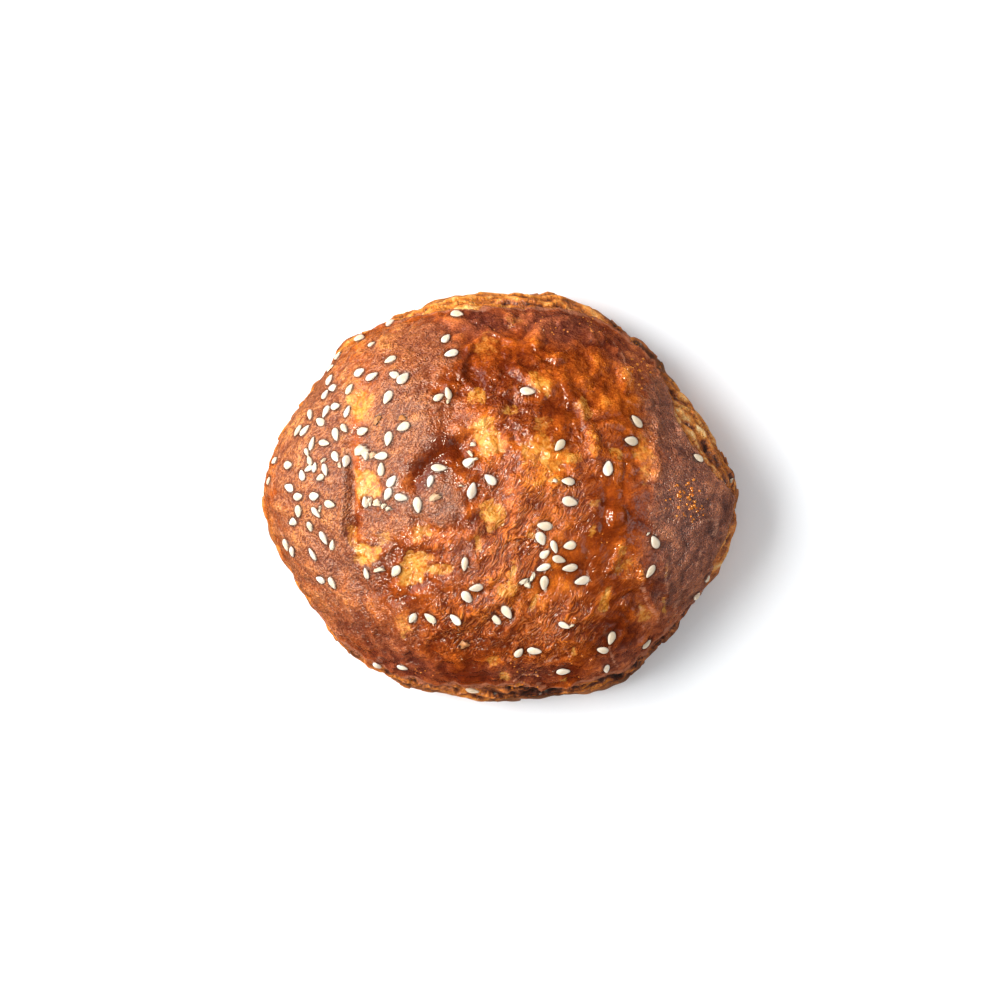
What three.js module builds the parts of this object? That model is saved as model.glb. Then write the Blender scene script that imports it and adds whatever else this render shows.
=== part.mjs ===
// A glazed bread roll, baked as one piece, with sesame seeds lying on its crust.
// Units are millimetres, +Z is up. The origin is the middle of the flat spot that it rests on.
import * as THREE from 'three';
import { mergeVertices } from 'three/addons/utils/BufferGeometryUtils.js';

// ---- Driving dimensions ------------------------------------------------------------------
const LENGTH = 114;           // along X, tip to tip
const WIDTH = 98;             // along Y
const HEIGHT = 46;            // from the flat spot to the highest point of the crust
const FLAT_INSET = 7;         // how far the flat spot stays inside the widest outline
const WIDEST_AT = 10;         // height of the widest line round the side
const SHOULDER_AT = 21;       // height of the ridge where the side turns into the top
const SIDE_CURVE = 1.5;       // 1 is a straight side, larger stays upright before it leans in
const DOME_FLATNESS = 2.5;    // larger keeps the top level further out
const DOME_FULLNESS = 0.8;    // smaller makes the dome's foot steeper
const TUCK_FULLNESS = 0.8;    // 1 is an elliptical lower edge, smaller is fuller

const SEED_THICKNESS = 0.95;  // a sesame seed lying flat
const SEED_GAP = 0.3;         // clear space between a seed and the crust

// The roll's plan is a soft hexagon: its radius every 15 degrees, counter-clockwise from +X.
const OUTLINE_RADII = [
  56.6, 52.6, 49.7, 49.6, 50.0, 49.6, 48.4, 49.0, 49.4, 51.8, 51.4, 54.2,
  56.8, 54.0, 52.0, 52.0, 51.0, 49.2, 49.0, 49.6, 52.8, 52.4, 52.6, 55.3,
];

// How far the shoulder ridge lies inside the widest line, every 30 degrees.
const SHOULDER_INSETS = [2.6, 4.0, 4.5, 4.0, 2.4, 1.6, 1.8, 3.0, 3.5, 3.2, 3.4, 3.0];

// Swellings and hollows of the top: x, y, reach along the turn, reach across it, turn, height.
const SWELLINGS = [
  [-20, 7, 5, 5, 0, 1.1],      // round blister left of the middle
  [-9, 9, 9, 2.6, 40, -1.4],   // valley beside it
  [-2, 34, 8, 5, 45, -1.6],    // pocket under the far edge
  [-30.5, 2.5, 4.5, 6, 0, -1.0],
  [-20, -17, 6, 5, 20, -1.1],
  [-2, -4, 5, 6, 0, -1.0],
  [8, 11, 6, 5, 0, 0.9],
  [27, -4.5, 4, 4, 0, 0.9],
  [29, 14, 7, 9, 70, 1.2],
  [-44, 10, 7, 14, 10, 1.3],
  [18, -36, 12, 6, 0, 0.9],
  [-26, 28, 10, 7, 30, 0.9],
  [12, -24, 5, 9, -35, -0.8],
];

// Whole sesame seeds: x, y, heading of the pointed end in degrees, length, width.
const SEEDS = [
  [-33.4, 37.5, 130, 2.6, 2.0],
  [-32.6, 28.8, 0, 2.8, 2.0],
  [-25.5, 31.5, 215, 2.9, 1.7],
  [-10.2, 42.4, 135, 3.0, 2.2],
  [-12.6, 36.5, 75, 2.6, 1.9],
  [-11.4, 33.0, 30, 3.3, 2.0],
  [-22.4, 27.2, 65, 3.6, 2.4],
  [-25.8, 22.9, 70, 3.4, 2.1],
  [-14.2, 22.8, 35, 2.6, 1.7],
  [-34.8, 24.9, 50, 2.8, 1.6],
  [-35.3, 19.6, 85, 2.9, 1.5],
  [-40.4, 19.6, 95, 3.2, 1.6],
  [-38.1, 14.3, 120, 3.3, 1.8],
  [-31.7, 15.1, 0, 3.0, 2.0],
  [-43.6, 12.2, 280, 3.3, 1.4],
  [-38.1, 9.2, 130, 2.9, 1.9],
  [-45.8, 5.0, 130, 2.6, 1.8],
  [-40.4, 6.2, 300, 3.0, 1.5],
  [-48.9, 2.2, 170, 2.8, 1.9],
  [-42.9, 0.3, 10, 2.7, 2.0],
  [-39.3, -1.6, 0, 2.8, 1.9],
  [-46.8, -3.2, 245, 2.9, 1.8],
  [-44.0, -6.6, 260, 2.6, 1.6],
  [-31.1, -1.2, 100, 2.6, 1.5],
  [-22.2, 16.1, 15, 3.2, 2.1],
  [-25.7, 13.3, 272, 3.4, 2.1],
  [-27.3, 9.4, 0, 3.3, 1.9],
  [-24.9, 3.6, 225, 3.1, 2.1],
  [-22.7, -0.1, 355, 3.1, 1.8],
  [-18.9, -1.8, 275, 3.6, 2.1],
  [-14.2, 6.6, 355, 3.6, 1.9],
  [-16.2, 3.6, 255, 2.8, 1.6],
  [-7.3, 7.7, 205, 3.4, 2.0],
  [-6.5, 1.5, 80, 3.8, 2.2],
  [-40.8, -9.3, 290, 3.4, 1.7],
  [-43.5, -13.1, 300, 3.2, 1.3],
  [-38.9, -19.8, 285, 3.0, 1.6],
  [-24.0, -16.9, 50, 3.0, 2.1],
  [-8.2, -15.3, 265, 3.3, 1.6],
  [-7.7, -22.9, 115, 3.4, 2.2],
  [-16.1, -27.8, 310, 3.3, 2.0],
  [-10.3, -28.1, 315, 3.3, 1.9],
  [1.4, -26.3, 115, 3.5, 2.2],
  [7.9, -35.4, 350, 3.4, 2.0],
  [14.7, -40.3, 352, 3.2, 1.7],
  [25.6, -32.6, 92, 3.1, 2.1],
  [34.1, -34.1, 55, 3.0, 1.6],
  [34.6, -17.0, 50, 3.4, 1.8],
  [35.6, -10.3, 310, 3.4, 2.1],
  [18.7, -19.2, 190, 3.7, 2.0],
  [10.0, -19.6, 272, 3.6, 2.1],
  [15.9, -16.2, 180, 3.6, 2.0],
  [9.2, -9.5, 115, 3.2, 2.3],
  [15.9, -1.1, 345, 3.6, 2.3],
  [6.2, 24.1, 355, 3.4, 2.0],
  [13.5, 11.8, 47, 3.4, 2.0],
  [31.4, 17.2, 320, 3.5, 2.0],
  [30.0, 12.8, 186, 3.6, 2.2],
  [24.7, 6.5, 80, 3.6, 2.3],
];

// ---- How finely the shapes are divided ---------------------------------------------------
const AROUND = 72;            // columns round the roll
const TUCK_STEPS = 5;         // rings from the flat spot to the widest line
const SIDE_STEPS = 4;         // rings from there to the shoulder
const DOME_STEPS = 19;        // rings from the shoulder to the crown

// ---- Small helpers -----------------------------------------------------------------------
const radians = THREE.MathUtils.degToRad;

// A smooth value from a list of values evenly spaced round a full turn.
function valueRound(list, angle) {
  const place = (angle / (2 * Math.PI)) * list.length;
  const at = Math.floor(place);
  const t = place - at;
  const [a, b, c, d] = [-1, 0, 1, 2].map((step) => list[(at + step + list.length) % list.length]);
  const slopeIn = (c - a) / 2;
  const slopeOut = (d - b) / 2;
  const bend = 3 * (c - b) - 2 * slopeIn - slopeOut;
  const twist = 2 * (b - c) + slopeIn + slopeOut;
  return b + slopeIn * t + bend * t * t + twist * t * t * t;
}

// The height that the swellings add at a place on the top.
function swelling(x, y) {
  let sum = 0;
  for (const [cx, cy, along, across, turn, height] of SWELLINGS) {
    const c = Math.cos(radians(turn));
    const s = Math.sin(radians(turn));
    const u = ((x - cx) * c + (y - cy) * s) / along;
    const v = ((y - cy) * c - (x - cx) * s) / across;
    sum += height * Math.exp(-(u * u + v * v));
  }
  return sum;
}

// A closed mesh's triangles from rings of points, with one point at each end.
function skinOfRings(rings, startPoint, endPoint) {
  const points = [startPoint, ...rings.flat(), endPoint];
  const triangles = [];
  const around = rings[0].length;
  const index = (ring, column) => 1 + ring * around + (column % around);
  for (let column = 0; column < around; column++) {
    triangles.push(0, index(0, column + 1), index(0, column));
    for (let ring = 0; ring + 1 < rings.length; ring++) {
      const [a, b] = [index(ring, column), index(ring, column + 1)];
      const [c, d] = [index(ring + 1, column), index(ring + 1, column + 1)];
      triangles.push(a, b, d, a, d, c);
    }
    const last = rings.length - 1;
    triangles.push(index(last, column), index(last, column + 1), points.length - 1);
  }
  const geometry = new THREE.BufferGeometry();
  geometry.setAttribute('position', new THREE.Float32BufferAttribute(points.flat(), 3));
  geometry.setIndex(triangles);
  return geometry;
}

// ---- The crust ---------------------------------------------------------------------------

// One column's radius and height at every ring, from the flat spot up to just below the crown.
function columnProfile(angle) {
  const widest = valueRound(OUTLINE_RADII, angle);
  const shoulder = widest - valueRound(SHOULDER_INSETS, angle);
  const steps = [];
  for (let i = 0; i <= TUCK_STEPS; i++) {
    const t = (i / TUCK_STEPS) * (Math.PI / 2);
    const out = Math.sin(t) ** TUCK_FULLNESS;
    const up = 1 - Math.cos(t) ** TUCK_FULLNESS;
    steps.push([widest - FLAT_INSET * (1 - out), WIDEST_AT * up]);
  }
  for (let i = 1; i <= SIDE_STEPS; i++) {
    const t = i / SIDE_STEPS;
    const inward = t ** SIDE_CURVE;
    steps.push([
      THREE.MathUtils.lerp(widest, shoulder, inward),
      THREE.MathUtils.lerp(WIDEST_AT, SHOULDER_AT, t),
    ]);
  }
  for (let i = 1; i < DOME_STEPS; i++) {
    const out = Math.cos((i / DOME_STEPS) * (Math.PI / 2));
    const up = (1 - out ** DOME_FLATNESS) ** DOME_FULLNESS;
    steps.push([shoulder * out, THREE.MathUtils.lerp(SHOULDER_AT, HEIGHT, up)]);
  }
  return steps;
}

function makeCrustGeometry() {
  const columns = [];
  for (let column = 0; column < AROUND; column++) {
    const angle = (column / AROUND) * 2 * Math.PI;
    columns.push(columnProfile(angle).map(([radius, z]) => {
      const x = radius * Math.cos(angle);
      const y = radius * Math.sin(angle);
      const onTop = THREE.MathUtils.smoothstep(z, SHOULDER_AT, SHOULDER_AT + 8);
      return [x, y, z + onTop * swelling(x, y)];
    }));
  }
  const rings = columns[0].map((_, ring) => columns.map((points) => points[ring]));
  const geometry = skinOfRings(rings, [0, 0, 0], [0, 0, HEIGHT + swelling(0, 0)]);
  fitToSize(geometry);
  return geometry;
}

// Brings the crust to its exact size, centred over the origin.
function fitToSize(geometry) {
  geometry.computeBoundingBox();
  const box = geometry.boundingBox;
  const size = box.getSize(new THREE.Vector3());
  const middle = box.getCenter(new THREE.Vector3());
  geometry.translate(-middle.x, -middle.y, -box.min.z);
  geometry.scale(LENGTH / size.x, WIDTH / size.y, HEIGHT / size.z);
  geometry.computeVertexNormals();
}

// ---- The sesame seeds --------------------------------------------------------------------

// A flat teardrop, one unit long, wide and thick, with its pointed end towards +X.
function makeSeedGeometry() {
  const POINTEDNESS = 0.38;
  const ball = new THREE.SphereGeometry(0.5, 8, 5);
  ball.rotateZ(-Math.PI / 2);
  ball.deleteAttribute('normal');
  ball.deleteAttribute('uv');
  const seed = mergeVertices(ball, 1e-5);
  const position = seed.attributes.position;
  for (let i = 0; i < position.count; i++) {
    const narrowing = 1 - POINTEDNESS * Math.max(0, position.getX(i) + 0.15);
    position.setY(i, position.getY(i) * narrowing);
    position.setZ(i, position.getZ(i) * narrowing);
  }
  return seed;
}

// Where a plumb line through x, y meets the crust, with the crust's mean direction round there.
function crustUnder(crust, x, y) {
  const REACH = 1.2;
  const down = new THREE.Vector3(0, 0, -1);
  const hitAt = (px, py) => {
    const ray = new THREE.Raycaster(new THREE.Vector3(px, py, 2 * HEIGHT), down);
    return ray.intersectObject(crust)[0].point;
  };
  const alongX = hitAt(x + REACH, y).sub(hitAt(x - REACH, y));
  const alongY = hitAt(x, y + REACH).sub(hitAt(x, y - REACH));
  return { point: hitAt(x, y), normal: alongX.cross(alongY).normalize() };
}

function layOnCrust(seed, crust, x, y, heading, thickness) {
  const { point, normal } = crustUnder(crust, x, y);
  const tip = new THREE.Vector3(Math.cos(radians(heading)), Math.sin(radians(heading)), 0);
  tip.addScaledVector(normal, -tip.dot(normal)).normalize();
  const side = new THREE.Vector3().crossVectors(normal, tip);
  seed.quaternion.setFromRotationMatrix(new THREE.Matrix4().makeBasis(tip, side, normal));
  seed.position.copy(point).addScaledVector(normal, thickness / 2 + SEED_GAP);
}

// ---- The whole roll ----------------------------------------------------------------------
const crustMaterial = () => new THREE.MeshStandardMaterial({ color: 0x7a2e0c, roughness: 0.35, metalness: 0 });
const seedMaterial = () => new THREE.MeshStandardMaterial({ color: 0xf6ead2, roughness: 0.45, metalness: 0 });

const roll = new THREE.Group();
const crust = new THREE.Mesh(makeCrustGeometry(), crustMaterial());
crust.name = 'bread_roll';
roll.add(crust);
crust.updateMatrixWorld();

SEEDS.forEach(([x, y, heading, length, width], i) => {
  const seed = new THREE.Mesh(makeSeedGeometry(), seedMaterial());
  seed.name = `sesame_seed_${String(i + 1).padStart(2, '0')}`;
  seed.scale.set(length, width, SEED_THICKNESS);
  layOnCrust(seed, crust, x, y, heading, SEED_THICKNESS);
  roll.add(seed);
});

export default roll;
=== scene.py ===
# %% [markdown]
# # A glazed bread roll with sesame seeds
#
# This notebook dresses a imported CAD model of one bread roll. The CAD model fixes the roll's size and
# the place of its seeds. Everything here is about its looks: a blistered, glazed crust, a layered
# side, sesame seeds stuck in the glaze, and the light that makes the glaze shine.
#
# Lengths are worked out in millimetres, because a baker thinks in them, and become metres only when
# a Blender object is made.

from math import cos, pi, radians, sin
from types import SimpleNamespace

import bmesh
import bpy
import numpy as np
from mathutils import Matrix, Vector
from mathutils.bvhtree import BVHTree


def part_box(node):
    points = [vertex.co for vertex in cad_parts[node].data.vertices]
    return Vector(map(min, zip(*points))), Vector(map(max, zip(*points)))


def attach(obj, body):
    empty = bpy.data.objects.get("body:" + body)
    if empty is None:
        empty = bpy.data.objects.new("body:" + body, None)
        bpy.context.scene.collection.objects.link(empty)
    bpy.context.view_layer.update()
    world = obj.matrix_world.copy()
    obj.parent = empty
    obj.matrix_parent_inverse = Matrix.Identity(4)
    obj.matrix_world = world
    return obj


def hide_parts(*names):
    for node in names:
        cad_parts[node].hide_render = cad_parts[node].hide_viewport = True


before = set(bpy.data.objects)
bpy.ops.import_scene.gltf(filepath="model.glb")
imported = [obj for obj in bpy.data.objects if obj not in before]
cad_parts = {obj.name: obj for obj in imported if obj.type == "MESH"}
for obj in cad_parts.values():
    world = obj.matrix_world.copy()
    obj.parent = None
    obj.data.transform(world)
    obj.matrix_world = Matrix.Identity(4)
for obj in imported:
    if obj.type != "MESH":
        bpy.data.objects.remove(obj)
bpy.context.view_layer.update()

MM = 0.001
seed_nodes = sorted(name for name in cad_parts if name.startswith("sesame_seed_"))
print("The frame holds", len(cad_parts), "nodes, and", len(seed_nodes), "of them are seeds")

# %% [markdown]
# ## The camera
#
# The roll is seen from straight above. A long lens from a metre away keeps its sides almost
# upright in the view, where a short lens close by would make the crown bulge. The lens is worked
# out from how wide the view has to be at the height of the roll's widest line, so the framing
# doesn't depend on the camera's distance.

# %% Camera straight above the roll
VIEW_WIDTH = 238.5 * MM       # what the view spans, left to right
WIDEST_LINE = 10              # height of the roll's widest line, in millimetres
CAMERA_DISTANCE = 1.0         # from that line up to the camera
OFF_CENTRE = (-0.1 * MM, -0.7 * MM)

camera_data = bpy.data.cameras.new("camera")
camera_data.lens = camera_data.sensor_width * CAMERA_DISTANCE / VIEW_WIDTH
camera = bpy.data.objects.new("camera", camera_data)
camera.location = (*OFF_CENTRE, WIDEST_LINE * MM + CAMERA_DISTANCE)
bpy.context.scene.collection.objects.link(camera)
bpy.context.scene.camera = camera
print("Lens", round(camera_data.lens, 1), "mm")

# %% [markdown]
# ## Soft studio light
#
# A glaze shows what it reflects, so the lights are large white sheets rather than bulbs. The main
# one stands at the upper left and gives the shadow on the right. A sheet in a mirror is a veil over
# the colours, so the main one isn't mirrored, and a low one beside it gives the left slope its pale
# sheen. Two small warm ones are seen only in the glaze, as its sparks, and one on the right gives the
# right slope a cool sheen. The world adds a little light from everywhere, so no side is ever black.

# %% Lights, world and view
def soft_box(name, bearing, elevation, distance, width, height, power, tint=(1, 1, 1),
             lights=True, mirrored=True):
    """A rectangular light turned towards the roll. Its bearing is counted from +X, in degrees."""
    data = bpy.data.lights.new(name, "AREA")
    data.shape = "RECTANGLE"
    data.size, data.size_y = width, height
    data.energy = power
    data.color = tint
    light = bpy.data.objects.new(name, data)
    towards = Vector((cos(radians(bearing)) * cos(radians(elevation)),
                      sin(radians(bearing)) * cos(radians(elevation)), sin(radians(elevation))))
    light.location = towards * distance
    light.rotation_euler = (-towards).to_track_quat("-Z", "Y").to_euler()
    light.visible_camera = False
    light.visible_diffuse = lights
    light.visible_glossy = mirrored
    bpy.context.scene.collection.objects.link(light)


WARM = (1.0, 0.9, 0.72)
WORLD_LIGHT = 0.62

# Bearing and elevation in degrees, then distance, width and height in metres, and power in watts
soft_box("main_soft_box", 172, 50, 0.9, 0.7, 0.45, 10.5, mirrored=False)
soft_box("left_sheen_box", 152, 20, 0.8, 0.9, 0.35, 4.2)
soft_box("glint_box", 150, 64, 0.9, 0.16, 0.16, 13.5, tint=WARM, lights=False)
soft_box("low_glint_box", 222, 50, 0.9, 0.14, 0.14, 9, tint=WARM, lights=False)
soft_box("right_sheen_box", -8, 24, 0.8, 0.6, 0.4, 1.6, lights=False)

world = bpy.data.worlds.new("studio_air")
world.use_nodes = True
world.node_tree.nodes["Background"].inputs["Color"].default_value = (1, 1, 1, 1)
world.node_tree.nodes["Background"].inputs["Strength"].default_value = WORLD_LIGHT
bpy.context.scene.world = world
world.cycles_visibility.glossy = False
bpy.context.scene.view_settings.view_transform = "Standard"
print("Five soft boxes and a pale world")

# %% [markdown]
# ## Arithmetic on sockets
#
# A node tree is a formula, so it is easier to read as one. `Wire` wraps one output socket and
# makes a Math node for each operator. `Recipe` wraps the tree: its one method adds any node, sets
# its settings first, because they decide which sockets it has, and then fills its sockets.

# %% Wire
class Wire:
    """An output socket that can be added, multiplied and so on."""

    def __init__(self, recipe, socket):
        self.recipe, self.socket = recipe, socket

    def _math(self, operation, first, second):
        return self.recipe.add("ShaderNodeMath", {"operation": operation}, {0: first, 1: second})

    def __add__(self, other):
        return self._math("ADD", self, other)

    def __sub__(self, other):
        return self._math("SUBTRACT", self, other)

    def __rsub__(self, other):
        return self._math("SUBTRACT", other, self)

    def __mul__(self, other):
        return self._math("MULTIPLY", self, other)

    __radd__, __rmul__ = __add__, __mul__


print("Sockets can now be added and multiplied")


# %% Recipe
class Recipe:
    """A node tree that is written as expressions."""

    def __init__(self, tree):
        self.tree = tree

    def add(self, kind, settings=None, inputs=None, output=0):
        """Any node: its kind, its settings, then a value or a wire for each socket named."""
        node = self.tree.nodes.new(kind)
        for name, value in (settings or {}).items():
            if name == "stops":
                self._set_stops(node.color_ramp, value)
            else:
                setattr(node, name, value)
        for name, value in (inputs or {}).items():
            if isinstance(value, Wire):
                self.tree.links.new(value.socket, node.inputs[name])
            else:
                node.inputs[name].default_value = value
        return Wire(self, node.outputs[output]) if node.outputs else node

    def _set_stops(self, ramp, stops):
        """Gives a colour ramp its row of stops."""
        while len(ramp.elements) > 1:
            ramp.elements.remove(ramp.elements[-1])
        ramp.elements[0].position = stops[0][0]
        ramp.elements[0].color = stops[0][1]
        for position, shade in stops[1:]:
            ramp.elements.new(position).color = shade

    def smooth(self, value, low, high):
        """0 below low, 1 above high, and an S-curve between."""
        return self.add("ShaderNodeMapRange", {"interpolation_type": "SMOOTHSTEP"},
                        {"Value": value, "From Min": low, "From Max": high})

    def mix(self, factor, first, second):
        """A colour between two colours."""
        return self.add("ShaderNodeMix", {"data_type": "RGBA"},
                        {"Factor": factor, "A": first, "B": second}, output="Result")

    def attribute(self, name):
        """The number stored under a name at each point of the mesh."""
        return self.add("ShaderNodeAttribute", {"attribute_name": name}, output="Fac")

    def noise(self, place, per_mm, detail=3.0, roughness=0.55, distortion=0.0):
        """A cloudy value about 0.5, with per_mm lumps to a millimetre."""
        return self.add("ShaderNodeTexNoise", {}, {
            "Vector": place, "Scale": per_mm, "Detail": detail,
            "Roughness": roughness, "Distortion": distortion})

    def turned(self, place, degrees, along, across):
        """The place turned in plan, and counted in units of along and across."""
        return self.add("ShaderNodeMapping", {"vector_type": "TEXTURE"}, {
            "Vector": place, "Rotation": (0, 0, radians(degrees)), "Scale": (along, across, across)})

    def ramp(self, value, *stops):
        """A colour read off a row of stops, each a position and a colour."""
        return self.add("ShaderNodeValToRGB", {"stops": stops}, {"Fac": value})


print("Recipes can now be written as expressions")

# %% [markdown]
# ## Materials in millimetres
#
# Every material here starts from the place on the object, turned into millimetres, so a noise can be
# asked for in lumps to a millimetre. Colours are chosen as everyday values from 0 to 255, but a shader
# adds up light, so they are made linear.

# %% A new material and its colours
def new_material(name):
    """A material with an empty tree, its recipe, and the place on the object in millimetres."""
    material = bpy.data.materials.new(name)
    material.use_nodes = True
    material.node_tree.nodes.clear()
    recipe = Recipe(material.node_tree)
    coordinates = recipe.add("ShaderNodeTexCoord", output="Object")
    place = recipe.add("ShaderNodeVectorMath", {"operation": "SCALE"},
                       {"Vector": coordinates, "Scale": 1 / MM})
    return material, recipe, place


def colour(red, green, blue):
    """A linear colour from everyday 0 to 255 values."""
    return tuple((c / 255 / 12.92) if c < 11 else ((c / 255 + 0.055) / 1.055) ** 2.4
                 for c in (red, green, blue)) + (1.0,)


print("A middle grey of 128 is", round(colour(128, 128, 128)[0], 3), "as light")

# %% [markdown]
# ## A floor
#
# The floor is a plain white sheet, large enough that its edge is never seen. It only has to catch
# the roll's soft shadow. A touch of blue makes up for the warm light that the crust throws on it.

# %% Floor
FLOOR_SPAN = 6.0

bpy.ops.mesh.primitive_plane_add(size=FLOOR_SPAN)
floor = bpy.context.object
floor.name = "floor"
floor_material, floor_recipe, _ = new_material("floor_white")
floor_shader = floor_recipe.add("ShaderNodeBsdfPrincipled", {}, {
    "Base Color": colour(246, 249, 252), "Roughness": 0.8, "Specular IOR Level": 0.2})
floor_recipe.add("ShaderNodeOutputMaterial", {}, {"Surface": floor_shader})
floor.data.materials.append(floor_material)
floor.visible_glossy = False
print("A floor", FLOOR_SPAN, "m wide")

# %% [markdown]
# ## Noise for a natural surface
#
# Dough rises unevenly, so its surface is a sum of random swellings of many sizes. Blender has
# noise textures, but a shape that the camera sees from the side has to be in the mesh, so the
# same kind of noise is worked out here for all the points at once. Each corner of a grid gets a
# fixed random direction, and a point blends the slopes of the eight corners round it.

# %% Noise on many points at once
def smooth_step(value, low, high):
    """0 below low, 1 above high, and an S-curve between."""
    t = np.clip((value - low) / (high - low), 0, 1)
    return t * t * (3 - 2 * t)


def slope_noise(points, seed):
    """Smooth noise between about -1 and 1, with one lump to each unit of length."""
    table = np.random.default_rng(seed).normal(size=(256, 3))
    table /= np.linalg.norm(table, axis=1, keepdims=True)
    shuffle = np.random.default_rng(seed + 1).permutation(256)
    corner = np.floor(points).astype(np.int64)
    inside = points - corner
    ease = inside ** 3 * (inside * (inside * 6 - 15) + 10)
    total = np.zeros(len(points))
    for dx in (0, 1):
        for dy in (0, 1):
            for dz in (0, 1):
                key = shuffle[(corner[:, 0] + dx) & 255]
                key = shuffle[(key + corner[:, 1] + dy) & 255]
                key = shuffle[(key + corner[:, 2] + dz) & 255]
                slope = ((inside - (dx, dy, dz)) * table[key]).sum(axis=1)
                share = (np.where(dx, ease[:, 0], 1 - ease[:, 0])
                         * np.where(dy, ease[:, 1], 1 - ease[:, 1])
                         * np.where(dz, ease[:, 2], 1 - ease[:, 2]))
                total += slope * share
    return total * 1.6


def cloud(points, size, octaves=3, seed=0):
    """Noise with lumps of a size in millimetres, and finer ones on top of them."""
    total, strength = np.zeros(len(points)), 1.0
    for octave in range(octaves):
        total += strength * slope_noise(points / size * 2 ** octave, seed + 10 * octave)
        strength *= 0.5
    return total


def turned(points, degrees, along, across):
    """Points turned in plan, and counted in units of along and across."""
    c, s = cos(radians(degrees)), sin(radians(degrees))
    u = (points[:, 0] * c + points[:, 1] * s) / along
    v = (points[:, 1] * c - points[:, 0] * s) / across
    return np.stack([u, v, points[:, 2] / across], axis=1)


print("Noise tools are ready")

# %% [markdown]
# ## The crust's skin
#
# The CAD crust is a coarse closed solid. The visible crust needs about a hundred times as many
# points, spread evenly, with most of them on top where the detail is. A round grid would crowd
# them at the crown, so a square grid is bent into a disc instead, and laid over the top and the
# side down to the widest line. Below that, rings go on to the flat base, and each ring there may
# halve its points. Every point is found by a ray from the middle of the roll to a smoothed copy
# of the CAD crust, so the roll keeps its CAD size.

# %% A smooth copy of the CAD crust to aim at
def smooth_copy_tree(node):
    """A search tree of a CAD node's surface, with its facets smoothed out."""
    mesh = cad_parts[node].data.copy()
    work = bmesh.new()
    work.from_mesh(mesh)
    bmesh.ops.remove_doubles(work, verts=work.verts, dist=1e-6)
    bmesh.ops.join_triangles(work, faces=work.faces, angle_face_threshold=pi,
                             angle_shape_threshold=pi)
    work.to_mesh(mesh)
    work.free()
    helper = bpy.data.objects.new("smooth_crust_helper", mesh)
    bpy.context.scene.collection.objects.link(helper)
    smoother = helper.modifiers.new("smooth", "SUBSURF")
    smoother.levels = smoother.render_levels = 2
    shape = helper.evaluated_get(bpy.context.evaluated_depsgraph_get()).to_mesh()
    corners = [vertex.co / MM for vertex in shape.vertices]
    tree = BVHTree.FromPolygons(corners, [list(face.vertices) for face in shape.polygons])
    bpy.data.objects.remove(helper)
    bpy.data.meshes.remove(mesh)
    return tree


crust_tree = smooth_copy_tree("bread_roll")
crust_low, crust_high = (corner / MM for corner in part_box("bread_roll"))
print("The crust measures", [round(v, 1) for v in crust_high - crust_low], "mm")

# %% A square grid bent over the top
GRID = 280                    # squares along one side of the grid
MIDDLE = Vector((0, 0, 14))   # where the rays start
TOP_FULLNESS = 0.92           # how the aimed points swell out: 1 would be an ellipse
BASE_FULLNESS = 0.55


def disc_place(column, row):
    """Bends a square grid into a disc: returns how far out, 0 to 1, and the angle."""
    a, b = 2 * column / GRID - 1, 2 * row / GRID - 1
    if a == 0 and b == 0:
        return 0.0, 0.0
    if abs(a) >= abs(b):
        return abs(a), (0 if a > 0 else pi) + pi / 4 * b / a
    return abs(b), (pi / 2 if b > 0 else 3 * pi / 2) - pi / 4 * a / b


def crust_point(out, angle):
    """A point on the crust: out is 0 at the crown, 1 on the widest line and 2 under the base."""
    if out <= 1:
        level = sin(out * pi / 2) ** TOP_FULLNESS
        height = WIDEST_LINE + (crust_high.z - WIDEST_LINE) * cos(out * pi / 2) ** TOP_FULLNESS
    else:
        level = cos((out - 1) * pi / 2) ** BASE_FULLNESS
        height = WIDEST_LINE * (1 - sin((out - 1) * pi / 2) ** BASE_FULLNESS)
    aim = Vector((crust_high.x * level * cos(angle), crust_high.y * level * sin(angle), height))
    return crust_tree.ray_cast(MIDDLE, aim - MIDDLE)[0][:]


points = [crust_point(*disc_place(column, row))
          for row in range(GRID + 1) for column in range(GRID + 1)]
faces = []
for row in range(GRID):
    for column in range(GRID):
        corner = row * (GRID + 1) + column
        faces.append((corner, corner + 1, corner + GRID + 2, corner + GRID + 1))
print(len(faces), "squares cover the top")

# %% Rings down the side and under the base
LOWER_RINGS = 16              # rings from the widest line to the edge of the flat base
BASE_EDGE = 0.60              # how far that edge is from the widest line to the base's middle
HALVING_RINGS = (1.66, 1.73, 1.80, 1.87, 1.94)

ring = ([row * (GRID + 1) + GRID for row in range(GRID)]
        + [GRID * (GRID + 1) + column for column in range(GRID, 0, -1)]
        + [row * (GRID + 1) for row in range(GRID, 0, -1)]
        + [column for column in range(GRID)])
angles = [disc_place(i % (GRID + 1), i // (GRID + 1))[1] for i in ring]
for step in range(1, LOWER_RINGS + 1):
    below = list(range(len(points), len(points) + len(ring)))
    points += [crust_point(1 + BASE_EDGE * (step / LOWER_RINGS), angle) for angle in angles]
    for i in range(len(ring)):
        j = (i + 1) % len(ring)
        faces.append((ring[i], below[i], below[j], ring[j]))
    ring = below
for out in HALVING_RINGS:
    angles = angles[::2]
    below = list(range(len(points), len(points) + len(angles)))
    points += [crust_point(out, angle) for angle in angles]
    for i in range(len(below)):
        j = (i + 1) % len(below)
        faces.append((ring[2 * i], below[i], ring[2 * i + 1]))
        faces.append((below[i], below[j], ring[2 * i + 1]))
        faces.append((ring[2 * i + 1], below[j], ring[2 * j]))
    ring = below
points.append(crust_point(2.0, 0.0))
faces += [(ring[i], len(points) - 1, ring[(i + 1) % len(ring)]) for i in range(len(ring))]
skin = np.array(points)
print(len(points), "points and", len(faces), "faces on the crust")

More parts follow.
